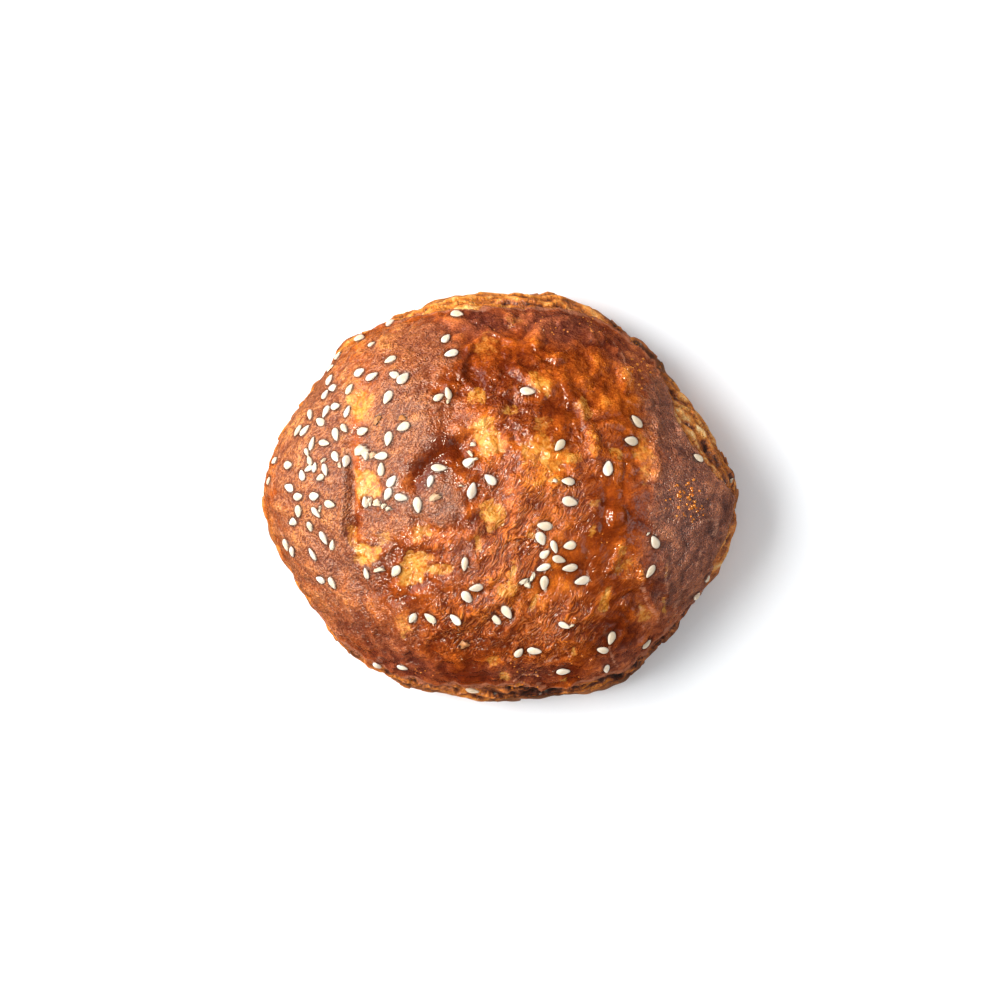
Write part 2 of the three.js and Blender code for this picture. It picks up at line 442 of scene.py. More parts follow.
# %% [markdown]
# ## Which way the skin faces
#
# Every swelling pushes the skin along its own direction, so each point needs the mean direction
# of the faces round it. They are worked out again after each round of swelling.

# %% Directions of the skin
triangles = np.array([t for face in faces for t in
                      ([face] if len(face) == 3 else [face[:3], (face[0], face[2], face[3])])])


def directions(points):
    """The outward direction at each point."""
    a, b, c = points[triangles[:, 0]], points[triangles[:, 1]], points[triangles[:, 2]]
    across = np.cross(b - a, c - a)
    total = np.zeros_like(points)
    for corner in range(3):
        np.add.at(total, triangles[:, corner], across)
    return total / np.maximum(np.linalg.norm(total, axis=1, keepdims=True), 1e-12)


facing = directions(skin)
outward = (facing * (skin - np.array(MIDDLE))).sum(axis=1)
print("Faces that point inwards:", int((outward < 0).sum()), "of", len(skin))

# %% [markdown]
# ## Where things are on the crust
#
# A baker would describe this crust by its spots: here a patch where the glaze tore and the pale
# dough shows, there a blister. Each is a short entry in a list: its place in plan, its reach along
# and across its own turn, and its strength.

# %% Torn patches
# x, y, reach along, reach across, turn, how pale (1 is bare golden dough)
TORN_PATCHES = [
    (-30.5, 2.5, 2.4, 3.8, 20, 1.0), (-34.6, -9.5, 1.0, 2.6, 10, 0.6), (-31.0, -13.6, 2.6, 2.4, -20, 0.95),
    (-20.0, -17.0, 2.8, 3.8, -15, 0.85), (-14.5, -17.0, 3.0, 1.2, 0, 0.7), (-18.0, -8.5, 2.6, 2.0, 0, 0.55),
    (-27.0, -10.0, 2.0, 2.0, 0, 0.45), (-2.0, -4.0, 2.5, 3.0, 35, 1.0), (-33.0, 22.0, 3.2, 3.6, 0, 0.55),
    (-2.5, 13.5, 3.0, 3.6, 20, 0.7), (-3.0, 17.0, 2.0, 1.6, 30, 0.6), (8.5, 11.5, 4.0, 3.6, 30, 0.55),
    (12.5, 7.0, 2.4, 1.8, 0, 0.55), (10.0, 16.5, 2.6, 2.6, 0, 0.35), (-5.5, 23.5, 2.2, 2.0, 0, 0.6),
    (9.0, 26.5, 3.2, 1.8, -30, 0.55), (2.5, 20.5, 2.2, 1.4, 0, 0.45), (33.0, 12.0, 2.4, 3.2, 0, 0.4),
    (34.0, 5.5, 1.6, 3.0, 0, 0.4), (17.6, 8.8, 1.7, 1.7, 0, 0.45), (27.0, 10.0, 1.6, 1.4, 0, 0.45),
    (-23.0, -30.5, 1.2, 3.2, 20, 0.4), (24.3, -25.4, 1.4, 2.2, -15, 0.8), (25.1, -22.3, 0.5, 1.2, -15, 0.8),
    (28.5, -12.6, 1.3, 1.2, 0, 0.6), (28.7, -16.4, 2.2, 2.0, 0, 0.45), (34.0, -28.0, 1.9, 2.2, 0, 0.5),
    (38.7, -17.0, 0.45, 2.4, 0, 0.5), (39.0, -26.0, 0.6, 2.4, 10, 0.5), (21.5, -8.0, 0.7, 2.0, -10, 0.5),
    (22.0, -1.6, 1.8, 1.0, 0, 0.35), (1.6, -21.8, 1.9, 1.4, 20, 0.7), (2.8, -18.5, 0.6, 2.2, -15, 0.7),
    (-5.0, -11.0, 0.9, 2.2, 10, 0.55), (8.0, -25.0, 0.7, 2.2, -20, 0.7), (3.2, -15.2, 1.0, 0.6, 20, 0.6),
    (7.0, -9.0, 1.2, 1.0, 0, 0.5), (-1.6, -39.2, 1.4, 1.1, 0, 0.6), (1.2, -42.6, 1.2, 1.2, 0, 0.5),
    (14.8, -43.4, 1.2, 0.7, 0, 0.5), (17.2, -36.4, 0.6, 1.1, 0, 0.6), (19.5, 20.5, 1.8, 2.4, 30, 0.45),
    (-3.5, 35.0, 3.8, 3.0, 45, 0.35), (3.2, 41.6, 2.4, 1.4, 10, 0.35),
]
print(len(TORN_PATCHES), "torn patches")

# %% Blisters
# x, y, radius, height of a blister where gas lifted the glaze
BLISTERS = [
    (-20.0, 7.0, 2.6, 0.7), (27.0, -4.6, 2.5, 0.7), (22.0, -1.5, 2.0, 0.5), (17.6, 8.6, 2.0, 0.5),
    (5.0, 14.2, 1.1, 0.4), (21.6, -7.4, 1.6, 0.5), (3.0, 42.0, 2.2, 0.6), (24.4, 37.4, 1.0, 0.4),
    (21.4, 38.2, 0.9, 0.4), (27.5, 10.3, 1.4, 0.4), (47.5, -6.5, 2.4, 0.7), (41.6, 1.7, 0.9, 0.35),
    (13.4, 32.4, 1.6, 0.4), (1.5, 33.6, 1.4, 0.5), (-6.8, 8.9, 1.2, 0.4), (23.4, 25.6, 1.6, 0.5),
    (35.0, 22.2, 1.4, 0.5), (19.8, 27.5, 1.3, 0.5), (12.6, -2.8, 1.4, 0.3), (5.5, -2.0, 1.6, 0.3),
]
print(len(BLISTERS), "blisters")

# %% [markdown]
# ## Bright and burnt spots
#
# The oven browns a roll unevenly. Noise alone would give an even mottle, so the clouds of amber and of
# burnt brown are laid where they are, and they add up where they meet.

# %% Tones of the glaze
# x, y, reach along, reach across, turn, tone: above 0 the glaze glows amber, below 0 it is burnt
TONES = [
    (-35, 26, 5, 5, 0, 0.6), (-33, 21, 4, 3, 0, 0.5), (-36, 12.5, 2.5, 3, 0, 0.5), (-31, 24, 3, 2, 0, 0.4),
    (-3, 14, 4, 6, 0, 0.7), (10, 12, 6, 6, 0, 0.7), (12, 6, 5, 4, 0, 0.6), (8, 3, 4, 3, 0, 0.4),
    (-1, 33, 4, 6, -30, 0.5), (9, 26, 4, 3, 0, 0.5), (14, 27, 4, 3, 0, 0.35), (-18, -8, 4, 3, 0, 0.5),
    (-27, -9, 3, 3, 0, 0.4), (-13, -10, 4, 3, 0, 0.3), (2, -6, 4, 6, 0, 0.4), (14, -8, 5, 5, 0, 0.3),
    (1, -21, 3, 4, 0, 0.5), (8, -25, 2, 3, 0, 0.5), (14, -22, 6, 5, 0, 0.25), (24, -25, 2, 4, -15, 0.6),
    (28, -14, 3, 4, 0, 0.5), (34, 10, 3, 6, 0, 0.6), (26, 25, 4, 4, 0, 0.3), (30, 20, 3, 4, 0, 0.25),
    (34, -29, 3, 4, 0, 0.45), (18, -38, 3, 2, 0, 0.4), (-1, -40, 3, 2, 0, 0.4), (-23, -29, 3, 3, 0, 0.4),
    (-19, -18, 6, 5, 0, 0.5), (-40, -23, 4, 4, 0, 0.2), (-48, 4, 6, 14, 0, 0.35), (-30, 36, 8, 5, 30, 0.35),
    (-14, 11, 6, 3, 35, -0.9), (-18.5, 5, 2.5, 4, 0, -0.7), (-6, 30, 4, 5, 0, -0.6), (1, 22, 5, 3, 0, -0.5),
    (13, 22, 6, 3, 0, -0.5), (5, 17, 4, 2.5, 0, -0.4), (24, 37, 9, 4, -20, -0.4), (14, 43, 8, 2.5, 0, -0.5),
    (-4, 43, 5, 3, 0, -0.5), (-11, 28, 3, 4, 0, -0.3), (22, -4, 5, 6, 0, -0.3), (33, -5, 4, 8, 0, -0.4),
    (-9, -34, 7, 4, 0, -0.6), (-5, -42, 8, 3, 0, -0.6), (1, -33, 3, 5, 0, -0.4), (28, -32, 6, 5, 0, -0.7),
    (37, -21, 3, 5, 20, -0.6), (-33, -33, 6, 5, 0, -0.6), (-17, -23, 4, 3, 0, -0.6),
    (-31, -22, 2.5, 2, 0, -0.4), (9, -3, 1.5, 2, 0, -0.3), (-20, -36, 6, 4, 0, -0.4),
    (14, -42, 8, 3, 0, -0.5), (6, -13, 3, 2, 0, -0.3),
    (33, 30, 4, 5, 0, -0.1), (-2, -9, 3, 2, 40, -0.5), (-34.5, 8, 2, 2, 0, -0.6),
    (-34, -5.5, 1.5, 2, 0, -0.6),
    (0, 42, 6, 4, 0, -0.3), (1, 31, 6, 5, 0, -0.55), (12, 18, 6, 4, 0, -0.3), (12, 6, 5, 4, 0, 0.3),
    (12, -7, 5, 5, 0, 0.5), (24, -6, 6, 6, 0, -0.2), (24, -18, 6, 6, 0, -0.35), (-37, -18, 6, 5, 0, -0.3),
    (-24, -18, 7, 5, 0, -0.55), (-24, -42, 7, 4, 0, -0.5), (-12, -42, 6, 4, 0, -0.4), (0, -42, 6, 3, 0, -0.2),
    (-14, 9, 6, 3, 35, -0.3), (-33, 4, 1.2, 9, 0, 0.5), (0, 31, 4, 5, -30, -0.25), (36, 30, 5, 5, 0, 0.2),
    (0, -6, 4, 4, 0, 0.2), (-12, -6, 5, 4, 0, -0.3), (12, -18, 4, 4, 0, 0.15),
    (0, -30, 5, 4, 0, 0.25), (-6, -42, 9, 4, 0, -0.2), (-24, -12, 6, 9, 0, -0.3), (-12, -14, 5, 7, 0, -0.2),
    (-12, 6, 4, 4, 0, -0.25), (1, 18, 4, 4, 0, -0.2), (1, 31, 5, 5, 0, -0.15), (13, 30, 6, 5, 0, -0.25),
    (25, 26, 5, 8, 0, -0.15), (0, 42, 6, 4, 0, -0.2), (12, 6, 4, 4, 0, -0.15), (-26, 42, 6, 4, 0, 0.2),
    (-22, -12, 10, 13, 0, -0.2), (0, 26, 9, 8, 0, -0.15), (6, 10, 12, 9, 0, -0.12), (-46, 20, 6, 9, 30, 0.2),
    (-8, -12, 8, 12, 0, -0.12), (16, -40, 14, 5, 10, -0.2), (-26, -38, 12, 5, -30, -0.15),
    (12, 12, 4, 3, 0, -0.2), (28, -24, 8, 10, 0, -0.1),
]
print(len(TONES), "bright and burnt spots")

# %% [markdown]
# ## Dull, wet, smooth and crumbly skin
#
# One glaze dries in many ways. On the steep slopes it is thin and dries to dull leather, brown on the
# left and mauve on the right, and both colours carry painted sheen. On top it stays wet and wrinkles,
# or lies smooth where it is deep, and crumbs of torn glaze stick in it. Each kind has its own list, so
# each can have its own finish.

# %% Leathery and mauve skin
# x, y, reach along, reach across, turn, strength: where the glaze dried to a dull leathery skin
LEATHER = [
    (-41, 4, 15, 34, 0, 1.0), (-24, 16, 10, 14, 0, 1.0), (-15, -1, 6.5, 6, 30, 0.9), (-22, 34, 12, 8, 0, 0.8),
    (-26, -3, 7, 7, 0, 0.8), (-38, -25, 10, 12, 0, 0.7), (-12, 18, 6, 6, 0, 0.5), (-26, -31, 8, 6, 0, 0.5),
    (47, -5, 11.5, 27, 0, 1.0), (40, 19, 6, 12, 15, 0.9),
]

# half width and path of the gaps where the leathery skin parted over darker, wetter glaze
GAPS = [
    (1.4, ((-33, 24), (-33.5, 14), (-33, 6), (-32.5, -2), (-34, -8), (-32, -14))),
    (2.8, ((-20, 4), (-17, 8.5), (-8, 13.5))),
    (1.2, ((-22, -9), (-14, -9))),
]

# x, y, reach along, reach across, turn, strength: where that skin is mauve, as on the right slope; the mauve
# is partly painted sheen
MAUVE = [
    (47.5, -5, 11.5, 25, 0, 1.0), (41, 19, 5, 10, 20, 0.9), (30, -39, 9, 3.5, 25, 0.6),
    (5, -42, 9, 2.5, 0, 0.45), (32, 33, 5, 9, 40, 0.5), (14, 41, 13, 4, -8, 0.6), (-6, 41, 10, 3.5, 5, 0.5),
    (38, -30, 5, 6, 0, 0.5), (-22, -40, 9, 4, -20, 0.45),
]
print(len(LEATHER), "leathery spots,", len(GAPS), "gaps in them and", len(MAUVE), "mauve spots")

# %% Wrinkled, smooth and crumbly skin
# x, y, reach along, reach across, turn, strength: fine wet wrinkles side by side
WRINKLED = [
    (3, -9, 9, 15, -25, 1.0), (-6, -27, 13, 9, 30, 1.0), (12, -32, 13, 8, 30, 0.9), (17, -2, 5, 8, 0, 0.8),
    (2, 5, 8, 6, 0, 0.8), (-14, -14, 8, 6, 0, 0.7), (22, 12, 5, 9, 0, 0.6), (0, 20, 10, 9, 0, 0.5),
    (26, -20, 8, 8, 0, 0.35), (18, 30, 14, 8, 0, 0.3), (-30, -25, 8, 7, 0, 0.4),
]

# The same, for the smooth deep glaze that has hardly a wrinkle
SLEEK = [
    (22, -14, 8, 15, 0, 1.0), (14, -23, 6, 6, 0, 0.6), (26, -3, 5, 8, 0, 0.6), (12, 23, 7, 5, 0, 0.4),
    (4, -33, 8, 5, 0, 0.4), (32, -2, 4, 7, 0, 0.5),
]

# The same, for the rough glittering patches of crumbs and torn glaze
CRUMBLY = [
    (21.6, 12.5, 1.2, 4.2, 10, 1.0), (17.5, 9, 1.9, 1.9, 0, 0.9), (5.8, 7.2, 2.0, 1.3, -20, 1.0),
    (9, 26.5, 3.2, 1.7, -30, 0.8), (-5.5, 23, 2, 1.6, 0, 0.8), (-3, 17, 2, 2, 0, 0.7),
    (27.6, -13.5, 1.2, 4, -25, 1.0), (30.5, -17, 2.6, 2.6, 0, 0.7), (24.4, -24.6, 1.2, 3, -20, 1.0),
    (18.5, -28.2, 3.2, 0.8, 30, 0.8), (10.4, -38.4, 1.6, 0.8, 30, 0.8), (-0.6, -39, 2, 1.3, 0, 0.9),
    (0.6, -42.4, 2.2, 1.2, 20, 0.8), (22.6, -38.4, 1.6, 0.7, 20, 0.7), (-14, -8, 5, 3, 20, 0.6),
    (-8, -8.5, 1.6, 1.4, 0, 0.8), (12.6, 4, 1.2, 0.8, 0, 0.8), (-22.6, -30, 2, 3, 20, 0.5),
    (2.8, -18.6, 0.9, 2.8, -15, 0.7), (29, 30, 1.2, 4, 10, 0.6), (36.2, 10, 1.2, 8, 2, 0.4),
    (-26, -6, 5, 4, 0, 0.4), (19.3, 21, 1.8, 2.4, 30, 0.6), (3, 42, 2.6, 1.3, 0, 0.5),
    (-31, -20, 3, 4, 0, 0.4),
]
print(len(WRINKLED), "wrinkled spots,", len(SLEEK), "smooth ones and", len(CRUMBLY), "crumbly ones")

# %% [markdown]
# ## Folds and veins
#
# As the roll springs up in the oven its crust buckles into ridges and valleys a few millimetres wide.
# Where the glaze cracked and healed it left thin pale veins. Both follow a line, so each entry is a
# path in plan with a width.

# %% Folds of the crust
# half width, rise (below 0 a valley), and the path
FOLDS = [
    (0.9, 0.4, ((36.5, 19), (36.7, 12), (36.4, 5))),
    (0.8, 0.7, ((34, -19), (36, -25), (38, -31))),
    (0.9, 0.6, ((27, 34), (29, 28), (29, 22))),
    (1.3, 0.9, ((19, 21), (21.5, 14), (22.6, 8))),
    (2.4, -1.9, ((-20, 4), (-17, 8.5), (-8, 13.5))),
    (2.2, -0.9, ((-12, 17), (-9, 24), (-6, 31))),
    (1.6, -0.8, ((-19, -5), (-14, -8), (-9, -8))),
    (1.2, -1.1, ((-35, 9), (-34.4, 0), (-34, -9))),
    (1.4, -0.9, ((-5, -10), (-1, -8), (2, -4))),
    (1.0, 0.5, ((-1, -31), (2, -26), (4, -19))),
    (0.8, 0.6, ((25.6, -17), (29, -10.5))),
    (0.6, 0.5, ((2.4, -21), (3.8, -16.5))),
    (1.5, 0.8, ((-14, -31), (-6, -27), (1, -23))),
    (1.3, 0.7, ((-5, -37), (0, -33), (6, -28))),
    (1.3, 0.7, ((8, -38), (14, -32), (21, -27))),
    (1.4, -0.8, ((-9, -33), (-2, -29), (3, -24))),
    (1.6, -0.6, ((-45, -8), (-38, -16), (-30, -23))),
    (0.8, 0.5, ((38, -14), (39, -24))),
    (1.4, 0.6, ((-24, -26), (-22, -36))),
    (0.9, 0.4, ((30, 16), (27, 23))),
    (1.2, 0.6, ((4, 16), (14, 12))),
    (1.6, -0.7, ((3, 22), (12, 23), (18, 19))),
    (1.4, 0.7, ((4, 31), (9, 25), (14, 27), (19, 22))),
    (1.2, -0.6, ((6, -3), (10, -2), (12, -5))),
    (1.4, 0.6, ((4, 2), (10, 1), (16, 3))),
    (1.1, -0.5, ((16, -6), (20, -10), (20, -20))),
    (1.2, -0.6, ((24, -6), (24, 2), (29, 4))),
    (1.5, 0.5, ((-28, -30), (-20, -24), (-12, -20))),
    (0.6, 0.5, ((8, 42.6), (18, 41.4), (27, 37.6), (33, 31.5), (37, 25), (38.6, 18))),
    (0.6, 0.5, ((14, 40.8), (24, 37), (30.5, 31), (34.5, 24))),
    (0.7, 0.6, ((-6, 24.5), (-9, 29), (-7, 35), (-2, 38.5), (3, 36))),
    (1.0, 0.8, ((-36, 12), (-36, 0), (-37, -8), (-34, -13))),
]
print(len(FOLDS), "folds")

# %% Veins in the glaze
# half width, strength and path
VEINS = [
    (0.4, 0.4, ((35.2, 24), (36.5, 17), (36.7, 12), (36.2, 6), (35.3, 1))),
    (0.4, 0.7, ((38.4, -14.5), (39, -17.5), (38.5, -21))),
    (0.4, 0.8, ((33, -18.4), (33.5, -21.5), (35, -25.5), (37.5, -30))),
    (0.4, 0.6, ((47.6, -13), (46, -17), (43.6, -22), (41, -27))),
    (0.4, 0.8, ((46.8, -6.6), (47.8, -5.3), (50.2, -4.9), (51, -7), (50.4, -9))),
    (0.4, 0.8, ((26, -35.8), (26.8, -38), (28.3, -40.6))),
    (0.35, 0.7, ((12.6, -34.6), (13.3, -36.6), (12, -38.7), (10, -39.2))),
    (0.35, 0.6, ((15, -34.8), (16.2, -37.6))),
    (0.35, 0.6, ((3.4, -43.2), (7, -42.4), (10, -43))),
    (0.4, 0.5, ((41.5, 18), (42.4, 13), (45, 9.6), (44, 5))),
    (0.4, 0.5, ((27, 36), (29.5, 31), (29.8, 25))),
    (0.35, 0.5, ((37.4, 3), (38.2, -3), (37, -9))),
    (0.35, 0.5, ((50, 2), (47, -1), (46.6, -4))),
    (0.4, 0.5, ((-46, 24), (-49.4, 17.5), (-53, 10))),
    (0.35, 0.5, ((8, 17.2), (5.2, 12.4), (11.5, 10.6), (12, 15))),
]
print(len(VEINS), "veins")

# %% [markdown]
# ## Where the cap ends
#
# The glaze was brushed on from above, so it ends in a ragged hem. Below it the side shows the bare
# dough, pale in some places and burnt in others. The hem is a closed line, drawn in plan.

# %% The cap's hem and the dough below it
# The edge of the glazed cap, above the layered side, as x and y all the way round
HEM = (
    (55.6, 0), (53, 3), (49.5, 6.5), (44.8, 12.5), (42.4, 16.5), (41, 20.5), (40, 25), (37, 31), (33, 36),
    (28, 40.2), (22, 42.8), (14, 44.4), (4, 44.9), (-8, 44.5), (-18, 43.6), (-27, 41.8), (-38, 35),
    (-45, 27.5), (-51.5, 17), (-56, 6), (-57.5, -1), (-53.8, -10), (-49, -19.5), (-43.5, -28),
    (-36, -36.2), (-28, -41), (-18, -44), (-9, -44.6), (2, -44.7), (11, -45.1), (18, -44.2), (26, -42.4),
    (33, -39.2), (39, -33), (43, -28.6), (46, -24.5), (49.3, -19), (51.8, -12.5), (54.4, -6), (55.6, 0),
)

# bearing, and how much pale dough shows in the layered side there
PALE_DOUGH = (
    (0, 0.5), (10, 0.8), (20, 1.0), (30, 0.8), (40, 0.3), (55, 0.25), (64, 0.85), (78, 0.75), (90, 0.85),
    (98, 1.0), (115, 0.8), (180, 0.6), (225, 0.4), (250, 0.5), (262, 0.75), (272, 0.3), (284, 0.0),
    (294, 0.5), (305, 0.1), (330, 0.25), (343, 1.0), (352, 0.7), (360, 0.5),
)
print(len(HEM), "corners on the hem")

# %% [markdown]
# ## From lists to masks
#
# Each list becomes one number at every point of the crust: 1 inside its spots, 0 outside, with ragged
# edges, because nothing on a crust ends in a clean line. The relief and the material read the same
# numbers, so a tear in the shape is also a tear in the colour.

# %% The top, the side and the base
HEM_LOWEST = 9                # the hem never shows below this height

height = skin[:, 2].copy()
bearing = np.degrees(np.arctan2(skin[:, 1], skin[:, 0])) % 360
hem_x, hem_y = np.array(HEM).T
hem_bearings = np.degrees(np.arctan2(hem_y, hem_x)) % 360
past_hem = np.hypot(skin[:, 0], skin[:, 1]) - np.interp(
    bearing, hem_bearings, np.hypot(hem_x, hem_y), period=360)
past_hem += 0.9 * cloud(skin, 7, 3, 25) + 0.45 * cloud(skin, 2.4, 2, 27)
drip_end = 12.5 + 3 * cloud(skin, 8, 3, 26)
past_hem = np.where(height < drip_end, np.maximum(past_hem, 1.6 * (drip_end - height)), past_hem)

base = 1 - smooth_step(height, 0.5, 3)
side = smooth_step(past_hem, -0.2, 0.5) * (1 - base)
top = 1 - smooth_step(past_hem, -0.5, 0.3)
# Round the left slope the cap curls under, so no hem shows there
skirted = smooth_step(np.interp(bearing, (0, 118, 135, 188, 205, 360), (1, 1, 0, 0, 1, 1)), 0, 1)
hem = np.exp(-((past_hem + 0.2) / 0.36) ** 2) * (height > HEM_LOWEST) * skirted
dough = np.interp(bearing, *np.array(PALE_DOUGH).T)
print("The glazed cap covers", round(float((top > 0.5).mean()), 2), "of the points")


# %% Ragged spots
def spot(x, y, along, across, turn, ragged, soft, seed, round_edge):
    """1 inside a ragged oval, or a ragged box, and 0 outside it."""
    c, s = cos(radians(turn)), sin(radians(turn))
    u = ((skin[:, 0] - x) * c + (skin[:, 1] - y) * s) / along
    v = ((skin[:, 1] - y) * c - (skin[:, 0] - x) * s) / across
    distance = np.hypot(u, v) if round_edge else (np.abs(u) ** 3.5 + np.abs(v) ** 3.5) ** (1 / 3.5)
    near = distance < 1 + soft + 1.5 * ragged
    distance = distance[near] + ragged * cloud(skin[near], 2.2, 3, seed)
    inside = np.zeros(len(skin))
    inside[near] = 1 - smooth_step(distance, 1 - soft, 1 + soft)
    return inside


def gather(entries, ragged, soft, add_up=False, round_edge=True):
    """The strongest of a list of spots at each point, or their sum."""
    found = np.zeros(len(skin))
    for number, (*shape, strength) in enumerate(entries):
        reach = strength * spot(*shape, ragged, soft, number, round_edge)
        found = found + reach if add_up else np.where(np.abs(reach) > np.abs(found), reach, found)
    return found


torn = gather(TORN_PATCHES, ragged=0.45, soft=0.4, round_edge=False) * top
tone = gather(TONES, ragged=0.45, soft=0.8, add_up=True) * top
leather = gather(LEATHER, ragged=0.3, soft=0.35) * top
mauve = gather(MAUVE, ragged=0.35, soft=0.75)
crumbly = gather(CRUMBLY, ragged=0.5, soft=0.35) * top
sleek = gather(SLEEK, ragged=0.35, soft=0.5) * top
print("Torn share of the top:", round(float((torn > 0.3).sum() / (top > 0.5).sum()), 3))


# %% Gaps in the leather, and the wet wrinkles
def along_path(points, half, path):
    """1 on a path of straight pieces, seen in plan, and fading beside it over its half width."""
    nearest = np.full(len(points), 1e9)
    for (x0, y0), (x1, y1) in zip(path, path[1:]):
        run = np.array((x1 - x0, y1 - y0))
        share = np.clip((points[:, :2] - (x0, y0)) @ run / (run @ run), 0, 1)
        nearest = np.minimum(nearest, np.hypot(points[:, 0] - x0 - share * run[0],
                                               points[:, 1] - y0 - share * run[1]))
    return np.exp(-(nearest / half) ** 2)


for half, path in GAPS:
    leather *= 1 - 0.9 * along_path(skin, half, path)
wrinkled = gather(WRINKLED, ragged=0.35, soft=0.6) * top * (1 - 0.7 * leather)
print("Leathery share of the top:", round(float((leather > 0.5).sum() / (top > 0.5).sum()), 2))

# %% [markdown]
# ## Relief
#
# The relief is built from large to small: slow swellings, then torn patches that lie a little
# below the glaze, then folds and blisters. It could be sculpted, but a list of rises can be read and
# changed. `swell` gathers how far each point is pushed out, in millimetres.

# %% Swellings, tears and folds
PILLOW_SIZE, PILLOW_RISE = 6.5, 1.3       # the crust swells between its creases, in two sizes
KNOT_SIZE, KNOT_RISE = 3.1, 0.6
TORN_DEPTH = 0.45                         # the dough in a torn patch lies this much lower

warp = np.stack([cloud(skin, 7, 2, 50 + axis) for axis in range(3)], axis=1)
fine_warp = np.stack([cloud(skin, 2.2, 2, 55 + axis) for axis in range(3)], axis=1)
flow = skin + 1.8 * warp
pillows = np.abs(slope_noise(flow / PILLOW_SIZE, 20)) - 0.3
knots = np.abs(slope_noise(flow / KNOT_SIZE, 23)) - 0.3
calm = (1 - 0.55 * leather) * (1 - 0.6 * sleek)
swell = 0.45 * cloud(skin, 14, 2, 24) * top
swell += (PILLOW_RISE * pillows + KNOT_RISE * knots) * top * calm
swell -= TORN_DEPTH * torn * top
bent = skin + 0.9 * warp + 0.25 * fine_warp
for half, rise, path in FOLDS:
    swell += rise * along_path(bent, half, path) * top
print("Swellings and folds push up to", round(float(np.abs(swell).max()), 2), "mm")

# %% Blisters and veins
VEIN_LOWEST = 12              # veins show only above this height
MOAT_DEPTH = 0.12             # the glaze dips this much round a blister

moat = np.zeros(len(skin))
wobble = 0.12 * cloud(skin, 1.5, 1, 40)
for x, y, reach, rise in BLISTERS:
    distance = np.hypot(skin[:, 0] - x, skin[:, 1] - y) / reach + wobble
    swell += rise * top * np.sqrt(np.clip(1 - distance ** 2, 0, 1))
    moat = np.maximum(moat, np.exp(-((distance - 1.05) / 0.12) ** 2) * top)
swell -= MOAT_DEPTH * moat

vein = np.zeros(len(skin))
wavy = skin + 0.9 * warp + 0.3 * fine_warp
for half, strength, path in VEINS:
    vein = np.maximum(vein, strength * along_path(wavy, half, path) * (height > VEIN_LOWEST))
print("Veins run over", int((vein > 0.3).sum()), "points")

# %% [markdown]
# ## The layered side
#
# The dough was folded in layers, and below the cap their edges stand out as ragged ledges that follow
# the outline. A ledge is a saw tooth of the height: it creeps out and then steps back. Just under the
# hem the side is undercut, which gives the cap its dark line of shade.

# %% Ledges and the undercut
LAYER_HEIGHT = 3.4            # one layer of folded dough
UNDERCUT_DEPTH = 0.9

crag = cloud(skin * (1, 1, 1.6), 8, 2, 30)
layer = height / LAYER_HEIGHT + 0.8 * cloud(skin, 12, 2, 31) + 0.2 * cloud(skin, 3.0, 2, 32)
ledge = (layer - np.floor(layer)) ** 0.6
ledge_rise = 0.4 + 0.9 * smooth_step(height, 7, 16)
swell += side * (1.2 * crag + ledge_rise * (ledge - 0.6)) + 0.4 * hem + 0.2 * vein
swell -= UNDERCUT_DEPTH * np.exp(-((past_hem - 1.1) / 0.6) ** 2) * (height > HEM_LOWEST) * skirted
skin = skin + facing * swell[:, None]
facing = directions(skin)
print("The largest push is", round(float(np.abs(swell).max()), 2), "mm")

# %% [markdown]
# ## Wrinkles
#
# Glaze shrinks as it dries and draws the skin into fine wrinkles that run side by side. Noise that is
# stretched one way gives them their run, and the warp keeps them from looking combed.

# %% Wrinkles
combed = slope_noise(turned(flow, 57, 6.0, 1.4), 60)
crumpled = 1 - 2.2 * np.abs(slope_noise(flow / 2.2, 61))
crumbs = cloud(skin, 1.3, 2, 64)
fine = 0.4 * combed * wrinkled + 0.1 * crumpled * top * calm * (1 - 0.6 * wrinkled)
fine += 0.06 * cloud(skin, 1.1, 2, 62) * top + 0.2 * np.maximum(crumbly, 0.5 * torn) * crumbs
fine += 0.12 * cloud(skin * (1, 1, 2), 2.4, 2, 65) * side * smooth_step(height, 5, 12)
skin = skin + facing * fine[:, None]
hollow = 0.5 - (0.9 * pillows + 0.3 * knots) * (1 - 0.5 * sleek) - 1.4 * fine
print("The finest wrinkles push up to", round(float(np.abs(fine).max()), 2), "mm")

# %% [markdown]
# ## Fitting the skin back into its box
#
# The pushes may carry a point past the CAD box or under the floor. A roll rests on a flat spot, so
# whatever would sink below the base is levelled, and the whole is brought back to its CAD size.

# %% Level the base and keep the size
skin[:, 2] = np.maximum(skin[:, 2], 0)
for axis in (0, 1):
    low, high = skin[:, axis].min(), skin[:, axis].max()
    ratio = (crust_high[axis] - crust_low[axis]) / (high - low)
    skin[:, axis] = crust_low[axis] + (skin[:, axis] - low) * ratio
skin[:, 2] *= crust_high.z / skin[:, 2].max()
print("The crown stands", round(float(skin[:, 2].max()), 1), "mm high")


# %% The crust's mesh and the numbers it carries
def new_object(name, corners, faces=()):
    """An object in the scene, made from corners in metres and faces."""
    mesh = bpy.data.meshes.new(name)
    mesh.from_pydata(corners, [], faces)
    thing = bpy.data.objects.new(name, mesh)
    bpy.context.scene.collection.objects.link(thing)
    return thing


def paint(mesh, name, values):
    """Stores one number for each point, for a material to read."""
    attribute = mesh.attributes.new(name, "FLOAT", "POINT")
    attribute.data.foreach_set("value", np.asarray(values, dtype=np.float32))


